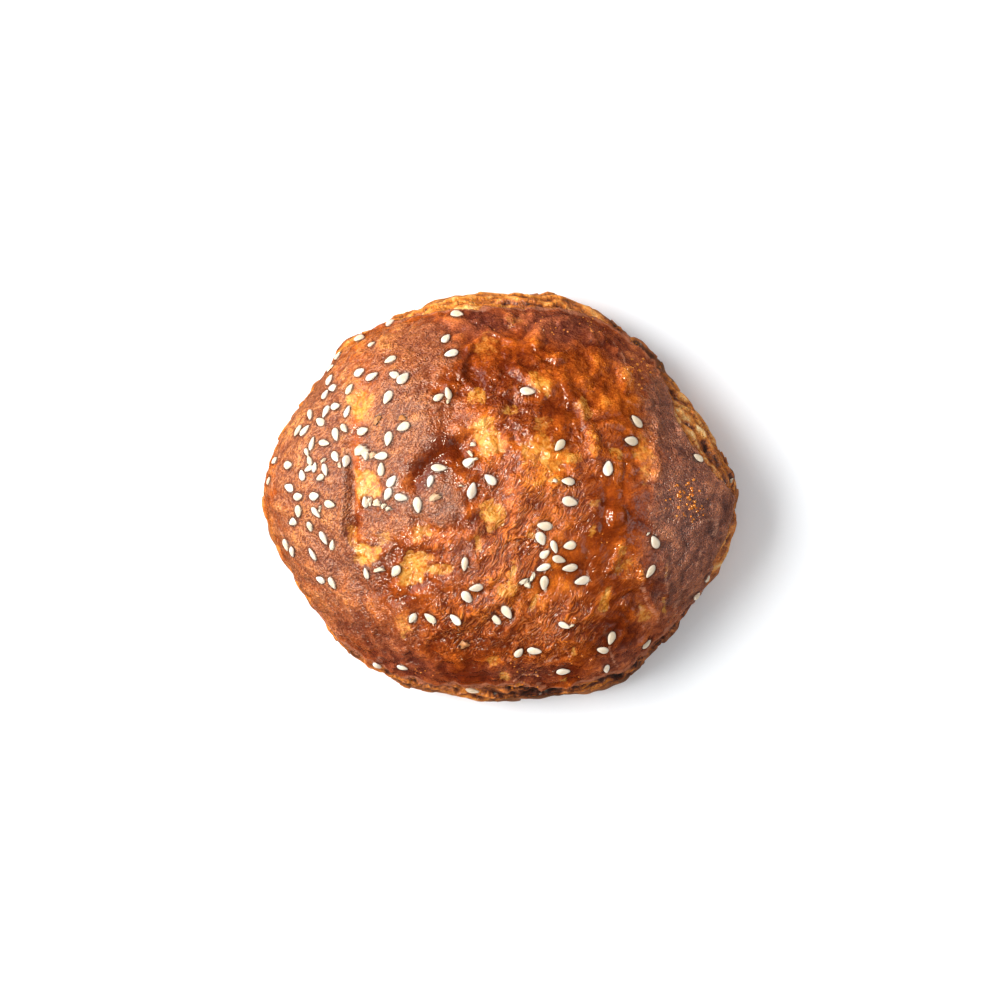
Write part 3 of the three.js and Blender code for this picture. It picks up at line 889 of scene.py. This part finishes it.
crust = new_object("crust", (skin * MM).tolist(), faces)
crust.data.shade_smooth()
carried = {"torn": torn, "side": side, "base": base, "tone": tone, "mauve": mauve, "leather": leather,
           "wrinkled": wrinkled, "hollow": hollow, "hem": hem, "layer": layer, "ledge": ledge,
           "dough": dough, "vein": vein, "crumbly": crumbly, "sleek": sleek}
for name, values in carried.items():
    paint(crust.data, name, values)
print("Triangles in the crust:", len(triangles))

# %% [markdown]
# ## The crust's finish
#
# An egg glaze browns to a deep red-brown, glows amber where it is thin, and dries to a clear shine.
# The colour could be one drawing of a crust, but then it couldn't follow the relief. So it is built
# in steps from what was stored at each point. `glow` says how thin the glaze is, with painted shade in
# the hollows, and three ramps read it: one for the wet glaze, one for the leathery skin and one for the
# mauve slope, the last two with painted sheen in them. Golden dough shows in the torn patches, and the
# side gets strata of burnt and pale dough.
#
# The shine is the shader's own reflection, sharp on the wet glaze and dull on the leather, and the colour
# adds painted highlights on the wrinkles' crests and on the leather's strokes. The finest wrinkles are
# too small for the mesh and come from a bump. It is kept gentle, because steep wrinkles scatter the
# sparks until none is left.

# %% What the crust's material reads
crust_material, r, place = new_material("baked_glaze")
here = SimpleNamespace(**{name: r.attribute(name) for name in carried})
here.stuck = r.attribute("stuck")
print("The material reads", len(vars(here)), "numbers at each point")

# %% Clouds, strokes and how thin the glaze is
drift = r.noise(place, 0.1, detail=2)
blotch = r.noise(place, 0.33, detail=2, roughness=0.5, distortion=0.8)
mottle = r.noise(place, 1.0, detail=1, roughness=0.5, distortion=0.8)
grain = r.noise(place, 2.7, detail=1, roughness=0.5)

# Wrinkles and strokes are noise stretched one way, and a slow sway keeps them from running straight
sway = r.add("ShaderNodeTexNoise", {}, {"Vector": place, "Scale": 0.22, "Detail": 1.0}, output="Color")
swayed = r.add("ShaderNodeVectorMath", {"operation": "MULTIPLY_ADD"}, {0: sway, 1: (3.5, 3.5, 3.5), 2: place})
combing = r.noise(r.turned(swayed, 57, 3.4, 0.46), 1.0, detail=1, roughness=0.5)
lines = r.smooth(combing, 0.36, 0.64)
crest_highlight = r.smooth(combing, 0.54, 0.64) * here.wrinkled
furrow_shade = r.smooth(combing, 0.47, 0.38) * here.wrinkled
strokes = r.noise(r.turned(swayed, 50, 1.3, 0.42), 1.0, detail=1, roughness=0.5)
busy = r.smooth(here.wrinkled + here.crumbly + 0.6 * here.leather + 1.4 * (blotch - 0.5), 0.1, 0.8)

# The glaze is thin on the swellings and pools dark in the hollows, and the dark hollows also carry painted
# shade
glow = 0.38 + 0.4 * here.tone + 0.3 * (drift - 0.5) - 0.55 * (here.hollow - 0.5) - 0.06 * here.sleek
ripples = 0.75 * (blotch - 0.5) + (0.25 + 0.3 * busy) * (mottle - 0.5) + 0.6 * (grain - 0.5)
glow = glow + (1 - 0.35 * here.sleek) * ripples + 0.1 * here.wrinkled * (lines - 0.5) + 0.25 * here.crumbly
print("The glow of the glaze is ready")

# %% Colours of the glazed cap
# The wet glaze, then the leathery skin with its dark specks and painted highlights, then the mauve slope; the
# leathery and mauve colours are partly painted sheen
glaze = r.ramp(glow, (0.0, colour(100, 34, 9)), (0.22, colour(132, 53, 12)), (0.45, colour(166, 74, 18)),
               (0.63, colour(200, 98, 26)), (0.82, colour(228, 130, 40)), (1.0, colour(240, 164, 70)))
skin_and_sheen = r.ramp(glow, (0.0, colour(112, 53, 28)), (0.4, colour(157, 89, 48)), (0.7, colour(194, 120, 64)),
                   (1.0, colour(224, 152, 80)))
specks = r.smooth(strokes + 0.2 * (mottle - 0.5), 0.5, 0.42)
skin_and_sheen = r.mix(specks * 0.8, skin_and_sheen, colour(104, 46, 27))
# Pale strokes on the leathery skin: painted highlights
skin_and_sheen = r.mix(r.smooth(strokes, 0.55, 0.64) * 0.4, skin_and_sheen, colour(224, 152, 112))
body = r.mix(here.leather * 0.85, glaze, skin_and_sheen)
# The mauve slope: its colour is partly painted cool sheen
mauve_and_sheen = r.ramp(glow, (0.0, colour(84, 44, 36)), (0.3, colour(146, 82, 60)), (0.7, colour(210, 124, 84)),
              (1.0, colour(226, 130, 60)))
mauve_and_sheen = r.mix(specks * 0.35, mauve_and_sheen, colour(92, 48, 42))
body = r.mix(here.mauve * 0.9, body, mauve_and_sheen)

# The wrinkles of the wet glaze: painted highlights on the crests and painted shade in the furrows
body = r.mix(crest_highlight * 0.45, body, colour(214, 122, 64))
body = r.mix(furrow_shade * 0.85, body, colour(96, 34, 12))

# Golden dough in the torn patches, then the dark rings round the seeds, browned glaze and painted contact
# shade, and the pale veins
gold = r.ramp(mottle + 0.6 * (blotch - 0.5), (0.3, colour(180, 92, 20)), (0.48, colour(214, 136, 42)),
              (0.66, colour(232, 172, 82)))
bare = r.smooth(here.torn + 0.3 * (mottle - 0.5) + 0.3 * (blotch - 0.5), 0.26, 0.5) * (0.12 + 0.8 * here.torn)
body = r.mix(bare, body, gold)
# The dark ring round each seed: browned glaze and painted contact shade
body = r.mix(here.stuck * 0.75, body, colour(58, 24, 12))
body = r.mix(r.smooth(here.vein + 1.2 * (mottle - 0.5), 0.25, 0.8) * 0.45, body, colour(227, 157, 121))
print("The cap has its colours")

# %% Colours of the side and the base
# Strata are noise read along the layers, from burnt ledges to pale dough, and each layer is painted darker
# where it is set back, as shade in the recess
strata = r.add("ShaderNodeCombineXYZ", {}, {"X": here.layer * 1.2, "Y": drift * 7.0, "Z": 0.0})
strata = r.noise(strata, 1.0, detail=5, roughness=0.65, distortion=0.3)
skirt_glow = 1.5 * (strata - 0.5) + 0.46 * here.dough + 0.08 + 0.35 * (mottle - 0.5)
skirt_glow = skirt_glow + 0.4 * (here.ledge - 0.6) + 0.6 * (blotch - 0.5)

# Low on the side the crust is smooth and evenly baked
upright = r.add("ShaderNodeSeparateXYZ", {}, {"Vector": place}, output="Z")
low = r.smooth(upright, 15.0, 5.0)
skirt_glow = skirt_glow * (1 - 0.6 * low) + low * (0.06 + 0.32 * here.dough)
skirt = r.ramp(skirt_glow, (0.0, colour(42, 21, 15)), (0.2, colour(95, 43, 22)), (0.4, colour(177, 93, 31)),
               (0.6, colour(224, 132, 42)), (0.8, colour(240, 178, 96)), (1.0, colour(250, 222, 170)))
skirt = r.mix(low * 0.4, skirt, colour(188, 122, 66))
body = r.mix(here.side, body, skirt)
body = r.mix(r.smooth(here.hem * (0.5 + blotch), 0.3, 0.8) * 0.6, body, colour(176, 112, 82))
underside = r.mix(r.smooth(blotch, 0.4, 0.65), colour(216, 129, 62), colour(157, 84, 39))
body = r.mix(here.base, body, underside)
print("The side has its strata")

# %% Shine, bump and the crust's material
roughness = 0.11 + 0.25 * here.leather + 0.1 * (blotch - 0.5) + 0.08 * here.torn + 0.3 * here.side
crinkle = r.noise(place, 0.75, detail=1, roughness=0.5, distortion=1.0)
pores = r.noise(place, 2.4, detail=0)
relief = (0.3 + 0.4 * busy) * (1 - 0.5 * here.sleek) * (1 - 0.5 * here.torn) * (
    (1 - 0.6 * here.leather) * (1 - 0.7 * here.wrinkled) * crinkle + (0.15 + 0.5 * here.leather) * pores)
relief = relief + 0.22 * here.wrinkled * lines + 0.25 * here.leather * strokes + 0.4 * here.crumbly * mottle
relief = relief + 0.25 * here.side * crinkle + 0.25 * here.mauve * pores
bump = r.add("ShaderNodeBump", {}, {"Strength": 1.0, "Distance": 1.0 * MM, "Height": relief})
crust_shader = r.add("ShaderNodeBsdfPrincipled", {}, {
    "Base Color": body, "Roughness": roughness, "Specular IOR Level": 0.36,
    "Coat Weight": 0.12 * here.leather + 0.18 * here.mauve, "Coat Roughness": 0.42, "Normal": bump})
r.add("ShaderNodeOutputMaterial", {}, {"Surface": crust_shader})
crust.data.materials.append(crust_material)

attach(crust, "root")
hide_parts("bread_roll")
print("The crust has its glaze")

# %% [markdown]
# ## Sesame seeds
#
# A hulled sesame seed is a flat teardrop about 3 mm long. There are over a hundred, all alike but
# for their size, turn and tint, so one seed is modelled and Geometry Nodes set copies of it on
# points. The CAD model holds the places of the whole seeds that lie apart. The others, which touch
# or lean on each other, are listed here in the same way.

# %% Read the CAD seeds
FACETED_LENGTH, FACETED_WIDTH = 1.03, 1.08    # a round seed is this much larger than a faceted one


def read_seed(node):
    """A CAD seed's place in plan, the heading of its pointed end, its length and its width."""
    corners = np.array([vertex.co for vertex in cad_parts[node].data.vertices]) / MM
    centre = (corners.min(axis=0) + corners.max(axis=0)) / 2
    _, ways = np.linalg.eigh((corners - centre).T @ (corners - centre))
    along, across = (corners - centre) @ ways[:, 2], np.abs((corners - centre) @ ways[:, 1])
    blunt_first = across[along > 0.5].max() > across[along < -0.5].max()
    tip = -ways[:, 2] if blunt_first else ways[:, 2]
    heading = np.degrees(np.arctan2(tip[1], tip[0]))
    return centre[0], centre[1], heading, np.ptp(along) * FACETED_LENGTH, across.max() * 2 * FACETED_WIDTH


cad_seeds = [read_seed(node) for node in seed_nodes]
print("A CAD seed is on average", round(float(np.mean([s[3] for s in cad_seeds])), 2), "mm long")

# %% [markdown]
# ## The seeds that touch
#
# Seeds fall in clusters, and some stand on edge against a neighbour. These are told apart one by one,
# with the same five values that were read off the CAD seeds, so both kinds go on as one list.

# %% Seeds that touch or lean on each other
# x, y, heading of the pointed end, length, width
CLOSE_SEEDS = [
    (-30.3, 35.9, 25, 2.0, 1.1), (-38.6, 33.5, 50, 2.4, 1.0), (-40.3, 30.5, 215, 2.4, 1.5),
    (-40.3, 27.6, 60, 2.8, 1.6), (-39.4, 25.6, 180, 2.3, 2.0), (-41.2, 24.1, 60, 2.6, 1.5),
    (-30.0, 28.1, 20, 3.4, 1.8), (-38.6, 21.2, 0, 2.4, 2.0), (-27.4, 41.9, 30, 2.4, 1.4),
    (-24.7, 28.4, 150, 2.7, 2.0), (-12.1, 24.0, 105, 3.0, 1.7), (-44.7, 19.3, 285, 2.9, 1.5),
    (-42.1, 17.6, 140, 2.8, 2.1), (-47.6, 15.6, 235, 3.0, 1.4), (-45.9, 15.6, 50, 3.2, 1.6),
    (-36.4, 16.0, 310, 2.6, 1.6), (-41.1, 12.6, 345, 3.0, 1.7), (-45.2, 10.45, 300, 2.2, 1.3),
    (-44.5, 8.5, 120, 2.5, 1.5), (-44.7, 6.6, 200, 2.4, 1.5), (-43.3, 6.9, 80, 2.4, 1.4),
    (-41.9, 4.5, 200, 2.3, 1.6), (-35.8, 8.3, 250, 3.0, 2.1), (-53.3, 8.6, 215, 2.0, 1.5),
    (-49.8, 7.5, 0, 2.4, 2.1), (-54.7, 3.9, 65, 2.2, 1.0), (-47.3, 0.1, 10, 2.7, 2.0),
    (-43.0, -3.6, 315, 3.1, 1.6), (-48.6, -5.8, 210, 2.6, 2.0), (-27.6, 6.4, 90, 3.2, 1.9),
    (-26.0, 0.7, 235, 3.3, 2.0), (-39.2, -11.2, 75, 2.5, 1.5), (-50.6, -11.3, 280, 3.0, 1.5),
    (-49.1, -12.9, 270, 2.6, 1.4), (-42.2, -19.4, 165, 2.4, 1.9), (-31.2, -17.8, 95, 2.8, 1.5),
    (-5.6, -21.0, 185, 3.4, 2.0), (-20.4, -28.2, 240, 2.7, 1.9), (-1.1, -28.3, 130, 3.2, 1.9),
    (14.8, -29.8, 340, 2.9, 1.6), (23.9, -35.8, 160, 2.9, 1.9), (4.3, -36.3, 60, 2.7, 2.0),
    (24.9, -40.3, 285, 2.5, 1.8), (-23.1, -40.2, 350, 2.7, 1.3), (-6.6, -45.9, 345, 3.4, 1.5),
    (-29.3, -42.5, 320, 2.4, 1.5), (49.9, -19.6, 70, 2.2, 1.3), (48.0, -25.0, 60, 2.2, 1.3),
    (12.4, -11.5, 290, 3.2, 1.7), (10.2, -13.2, 35, 2.7, 1.9), (13.5, -14.4, 345, 3.3, 1.9),
    (9.9, -16.3, 205, 3.6, 1.8), (10.2, -6.7, 170, 3.6, 2.3), (-2.3, 4.0, 140, 3.3, 2.2),
    (15.6, 3.6, 180, 3.2, 2.1), (46.4, 9.2, 155, 2.8, 1.9), (16.0, -11.2, 190, 3.0, 2.2),
]
every_seed = cad_seeds + CLOSE_SEEDS
print(len(every_seed), "seeds in all")

# %% [markdown]
# ## One seed to copy
#
# A sesame seed is a flattened drop: round at one end, pointed at the other, and a little domed. A
# sphere with its poles laid along X is narrowed towards +X. Twelve by nine segments are enough,
# because a seed is only a few millimetres long and is shaded smooth.

# %% One seed
SEED_THICKNESS = 0.95


def one_shape(name, segments, rings, reshape, matrix=Matrix()):
    """A ball one unit wide, each of whose corners is then moved by a rule."""
    work = bmesh.new()
    bmesh.ops.create_uvsphere(work, u_segments=segments, v_segments=rings, radius=0.5, matrix=matrix)
    for vertex in work.verts:
        vertex.co = reshape(*vertex.co)
    mesh = bpy.data.meshes.new(name)
    work.to_mesh(mesh)
    work.free()
    mesh.shade_smooth()
    return bpy.data.objects.new(name, mesh)


def teardrop(x, y, z):
    """Narrows a ball towards +X and domes it a little."""
    narrowing = 1 - 0.62 * max(0, x + 0.12) ** 0.9
    return x, y * narrowing, z * narrowing ** 0.6 + 0.12 * (0.25 - x * x)


one_seed = one_shape("one_seed", 12, 9, teardrop, Matrix.Rotation(pi / 2, 4, "Y"))
paint(one_seed.data, "rim", [np.hypot(vertex.co.x + 0.05, vertex.co.y * 1.1) * 2
                             for vertex in one_seed.data.vertices])
print("One seed has", len(one_seed.data.polygons), "faces")

# %% [markdown]
# ## Laying the seeds
#
# A seed lies flat on the crust, so it is turned to the crust's own slope under it, but no steeper
# than a seed can lie without sliding. It sinks a little into the glaze, which pools round it and
# browns. That dark ring, which is also painted contact shade where the seed meets the crust, is stored
# on the crust's points.

# %% Where a seed lies
STEEPEST = 34                 # degrees: a seed that lay steeper would have slid off

laid_tree = BVHTree.FromPolygons(skin.tolist(), faces)


def lie_at(x, y, heading, lift, reach=0.9):
    """Where a seed lies on the crust, lifted by its half thickness, and how it is turned there."""
    down = Vector((0, 0, -1))
    hits = []
    for dx, dy in ((0, 0), (reach, 0), (-reach, 0), (0, reach), (0, -reach)):
        hits.append(laid_tree.ray_cast(Vector((x + dx, y + dy, 100)), down)[0])
    if None in hits:
        middle, normal = laid_tree.find_nearest(Vector((x, y, 17)))[:2]
    else:
        middle = hits[0]
        normal = (hits[1] - hits[2]).cross(hits[3] - hits[4]).normalized()
    tilt = normal.angle(Vector((0, 0, 1)))
    if tilt > radians(STEEPEST):
        normal = Vector((0, 0, 1)).slerp(normal, radians(STEEPEST) / tilt)
    tip = Vector((cos(radians(heading)), sin(radians(heading)), 0))
    tip = (tip - tip.dot(normal) * normal).normalized()
    turn = Matrix((tip, normal.cross(tip), normal)).transposed().to_euler()
    return middle + lift * Vector((0, 0, 1)) / max(normal.z, 0.5), turn


print("At the crown a seed lies", round(lie_at(0, 0, 0, 0)[0].z, 1), "mm up")

# %% The dark ring round a seed: browned glaze and painted contact shade
# The ring round a seed is browned glaze and painted contact shade; RING_WIDTH is how far past the seed it
# reaches
RING_WIDTH = 0.2              # how far past a seed the glaze pooled and browned
RING_HEIGHT = 3.2             # no ring runs further down a slope than this

stuck = np.zeros(len(skin))


def darken_round(middle, heading, length, width):
    """Marks the crust under and just round a seed, where the glaze pooled and browned, and where painted
    contact shade falls.
    """
    c, s = cos(radians(heading)), sin(radians(heading))
    x, y = skin[:, 0] - middle[0], skin[:, 1] - middle[1]
    reach = np.hypot((x * c + y * s) / (length / 2 + RING_WIDTH), (y * c - x * s) / (width / 2 + RING_WIDTH))
    reach = np.hypot(reach, (skin[:, 2] - middle[2]) / RING_HEIGHT)
    np.maximum(stuck, 1 - smooth_step(reach, 0.85, 1.3), out=stuck)


print("A ring can be marked on", len(stuck), "points")


# %% Lay the seeds on the crust
def bare_points(name, places, turns, sizes):
    """An object of bare points, each carrying the turn and the size of the copy it will get."""
    thing = new_object(name, [place * MM for place in places])
    for key, values in (("turn", turns), ("size", np.array(sizes) * MM)):
        thing.data.attributes.new(key, "FLOAT_VECTOR", "POINT").data.foreach_set(
            "vector", np.array(values, dtype=np.float32).ravel())
    return thing


def seed_points(name, seeds, thickness, sink):
    """Bare points for seeds that sink a share of their thickness into the glaze."""
    places, turns, sizes, tints = [], [], [], []
    draw = np.random.default_rng(7)
    for x, y, heading, length, width, *tint in seeds:
        middle, turn = lie_at(x, y, heading, thickness * (0.5 - sink))
        darken_round(middle, heading, length, width)
        places.append(middle)
        turns.append(turn[:])
        sizes.append((length, width, draw.uniform(0.85, 1.1)))
        tints.append(tint[0] if tint else draw.uniform(0, 1))
    thing = bare_points(name, places, turns, sizes)
    paint(thing.data, "tint", tints)
    return thing


seeds = seed_points("sesame_seeds", every_seed, SEED_THICKNESS, sink=0.22)
print("Laid", len(seeds.data.vertices), "points")

# %% [markdown]
# ## Husks and broken seeds
#
# Some seeds break or lose their skin, and the scraps stick in the glaze, pale or toasted amber. They
# are too thin and ragged for the seed's shape, so they share a crumpled one of their own. It is laid
# and copied in the same way.

# %% Husks and broken seeds
# x, y, heading, length, width, tint: up to 1 it is as pale as a seed, 2 is toasted amber
HUSKS = [
    (-32.2, 10.9, 20, 3.4, 2.4, 0.3), (-31.2, 9.6, 300, 2.2, 1.6, 0.2), (-29.5, 9.8, 30, 2.0, 1.4, 1.5),
    (-28.6, 18.0, 60, 2.6, 1.2, 1.8), (-22.7, 18.3, 0, 2.0, 1.3, 1.9), (-28.6, -1.4, 0, 2.2, 1.5, 1.0),
    (-27.0, -2.0, 40, 1.6, 0.9, 0.8), (-25.9, -2.7, 20, 1.5, 0.8, 0.5), (-30.4, -1.0, 80, 2.1, 1.3, 0.4),
    (-15.0, 0.0, 20, 2.9, 1.5, 1.5), (-6.3, 12.2, 0, 1.5, 1.0, 0.2), (-6.9, 10.0, 310, 2.2, 0.8, 0.8),
    (-5.7, 8.8, 20, 1.2, 0.6, 0.4), (12.6, 3.8, 0, 1.1, 0.8, 0.4), (-9.0, 2.6, 350, 1.0, 0.4, 0.8),
    (-42.0, -2.7, 70, 1.8, 0.5, 0.5), (-28.0, -16.9, 10, 2.8, 1.0, 0.8), (7.4, -18.6, 255, 2.8, 0.9, 0.2),
    (5.4, -19.6, 205, 2.4, 1.3, 0.3), (6.4, -20.4, 330, 1.6, 1.3, 0.2), (34.3, -8.5, 35, 1.0, 0.4, 0.1),
    (-8.4, -34.4, 30, 2.6, 1.9, 1.8), (-41.2, 8.6, 40, 1.6, 0.7, 0.6), (-37.4, 7.4, 120, 1.4, 0.8, 0.7),
    (54.8, 4.0, 60, 1.3, 0.7, 0.5), (16.6, -29.8, 20, 1.2, 0.5, 0.8), (-12.1, 22.2, 60, 1.2, 0.8, 1.2),
]
HUSK_THICKNESS = 0.7


def crumpled(x, y, z):
    """Gives a ball a ragged edge and crumples it, like a scrap of seed skin."""
    ragged = 1 + 0.2 * sin(9 * x + 4 * y) + 0.15 * sin(13 * y - 7 * x + 1)
    return x * ragged, y * ragged, 0.6 * z + 0.4 * sin(6 * x + 1) * cos(7 * y)


one_husk = one_shape("one_husk", 12, 9, crumpled)
husks = seed_points("seed_husks", HUSKS, HUSK_THICKNESS, sink=0.1)
paint(crust.data, "stuck", stuck)
print("Laid", len(HUSKS), "scraps")

# %% [markdown]
# ## Beads of glaze
#
# Sugar in the glaze boils up through the dull skin and sets in tiny amber beads, crowded in patches.
# They could be a bump, but they stand up and catch the light, so they are small drops. Each patch
# is one entry in a list, and a fixed seed scatters its beads.

# %% Beads of glaze
# x, y, reach, how many, largest width
BEADED = [
    (43.2, -0.6, 5.0, 50, 1.1), (46.0, -3.5, 3.0, 14, 0.7), (32.5, 29.0, 4.5, 34, 0.9),
    (12.5, 40.0, 3.6, 20, 0.5), (22.0, 41.0, 3.2, 16, 0.55), (-18.0, -42.0, 4.0, 18, 0.5),
    (6.0, -41.5, 4.6, 26, 0.6), (23.5, -9.8, 2.0, 8, 0.5), (2.0, 43.6, 6.0, 14, 0.5),
    (29.0, 36.0, 4.0, 16, 0.5), (18.0, -40.0, 4.0, 12, 0.5),
]
BEAD_FLATNESS = 0.7           # a bead's height as a share of its width


def bead_points(name, groups):
    """Bare points for beads, crowded towards the middle of each group."""
    draw = np.random.default_rng(11)
    places, sizes = [], []
    for x, y, reach, count, widest in groups:
        for _ in range(count):
            off = draw.normal(0, reach / 2, 2)
            width = widest * draw.uniform(0.35, 1.0) ** 1.5
            places.append(lie_at(x + off[0], y + off[1], 0, 0.05 * width, reach=0.3)[0])
            sizes.append((width, width * draw.uniform(0.75, 1.0), width))
    return bare_points(name, places, np.zeros((len(places), 3)), sizes)


one_bead = one_shape("one_bead", 8, 6, lambda x, y, z: (x, y, z))
beads = bead_points("glaze_beads", BEADED)
print("Laid", len(beads.data.vertices), "beads")

# %% [markdown]
# ## Copies on points with Geometry Nodes
#
# The tree reads each point's turn and size, sets a copy of the shape on it, makes the copies real
# and gives them their material. How thick the copies are is one of its inputs. `bake_nodes` then
# swaps the live modifier for the plain mesh that it makes.

# %% The scattering tree
def scatter_tree(name, material):
    """A node group that sets one shape on every point, turned and sized as the point says."""
    tree = bpy.data.node_groups.new(name, "GeometryNodeTree")
    for name, way, kind in (("Points", "INPUT", "Geometry"), ("Shape", "INPUT", "Object"),
                            ("Thickness", "INPUT", "Float"), ("Geometry", "OUTPUT", "Geometry")):
        tree.interface.new_socket(name, in_out=way, socket_type="NodeSocket" + kind)
    g = Recipe(tree)
    given = tree.nodes.new("NodeGroupInput")
    points_in, shape, thickness = (Wire(g, given.outputs[n]) for n in ("Points", "Shape", "Thickness"))
    model = g.add("GeometryNodeObjectInfo", {}, {"Object": shape}, output="Geometry")
    turn = g.add("GeometryNodeInputNamedAttribute", {"data_type": "FLOAT_VECTOR"}, {"Name": "turn"})
    turn = g.add("FunctionNodeEulerToRotation", {}, {"Euler": turn})
    size = g.add("GeometryNodeInputNamedAttribute", {"data_type": "FLOAT_VECTOR"}, {"Name": "size"})
    flatten = g.add("ShaderNodeCombineXYZ", {}, {"X": 1.0, "Y": 1.0, "Z": thickness})
    size = g.add("ShaderNodeVectorMath", {"operation": "MULTIPLY"}, {0: size, 1: flatten})
    copies = g.add("GeometryNodeInstanceOnPoints", {}, {
        "Points": points_in, "Instance": model, "Rotation": turn, "Scale": size})
    real = g.add("GeometryNodeRealizeInstances", {}, {"Geometry": copies})
    dressed = g.add("GeometryNodeSetMaterial", {}, {"Geometry": real, "Material": material})
    g.add("NodeGroupOutput", {}, {"Geometry": dressed})
    return tree


def bake_nodes(thing, tree, values):
    """Runs a node group on an object, with named inputs, and keeps only the mesh it makes."""
    modifier = thing.modifiers.new(tree.name, "NODES")
    modifier.node_group = tree
    for socket in tree.interface.items_tree:
        if socket.in_out == "INPUT" and socket.name in values:
            modifier[socket.identifier] = values[socket.name]
    ready = thing.evaluated_get(bpy.context.evaluated_depsgraph_get())
    mesh = bpy.data.meshes.new_from_object(ready)
    thing.modifiers.clear()
    thing.data = mesh
    mesh.name = thing.name


print("The scattering tree can be built")

# %% [markdown]
# ## Finishes of the seeds and beads
#
# A hulled seed is cream with a tan middle, where its skin is thinnest. It has a soft gloss, and no
# two are quite alike, so each point's tint shifts the cream and past 1 toasts it. A bead is clear set
# sugar, sharper in its shine than the glaze round it.

# %% Sesame material
sesame_material, r, place = new_material("hulled_sesame")
tint = r.attribute("tint")
cream = r.mix(tint, colour(228, 215, 198), colour(218, 199, 172))
cream = r.mix(r.smooth(r.attribute("rim"), 0.8, 0.3) * 0.45, cream, colour(206, 184, 146))
cream = r.mix(r.smooth(r.noise(place, 1.6, detail=2), 0.5, 0.75) * 0.3, cream, colour(190, 162, 122))
cream = r.mix(r.smooth(tint, 1.0, 2.0), cream, colour(176, 106, 40))
skin_bump = r.add("ShaderNodeBump", {}, {
    "Strength": 0.25, "Distance": 0.1 * MM, "Height": r.noise(place, 3.0, detail=2)})
seed_shader = r.add("ShaderNodeBsdfPrincipled", {}, {
    "Base Color": cream, "Roughness": 0.42, "Specular IOR Level": 0.3, "Normal": skin_bump})
r.add("ShaderNodeOutputMaterial", {}, {"Surface": seed_shader})
print("Sesame has its finish")

# %% Bead material
bead_material, r, place = new_material("amber_glaze")
bead_shader = r.add("ShaderNodeBsdfPrincipled", {}, {
    "Base Color": r.mix(r.noise(place, 0.8, detail=0), colour(196, 92, 26), colour(232, 150, 60)),
    "Roughness": 0.15, "Specular IOR Level": 0.4})
r.add("ShaderNodeOutputMaterial", {}, {"Surface": bead_shader})
print("The beads have their finish")

# %% [markdown]
# ## Setting the seeds, husks and beads
#
# The three sets of points become three plain meshes. Nothing here moves, so all of them ride on the
# roll's one body, and the seeds stand for the CAD seeds.

# %% Set the seeds, husks and beads
bake_nodes(seeds, scatter_tree("set_seeds", sesame_material),
           {"Shape": one_seed, "Thickness": SEED_THICKNESS})
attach(seeds, "root")
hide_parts(*seed_nodes)
bake_nodes(husks, scatter_tree("set_husks", sesame_material),
           {"Shape": one_husk, "Thickness": HUSK_THICKNESS})
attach(husks, "root")
bake_nodes(beads, scatter_tree("set_beads", bead_material),
           {"Shape": one_bead, "Thickness": BEAD_FLATNESS})
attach(beads, "root")
print("The seeds are one piece of", len(seeds.data.polygons), "faces")

# %% [markdown]
# ## Size
#
# The crust was brought back to its CAD size, and nothing may stand past the CAD box.
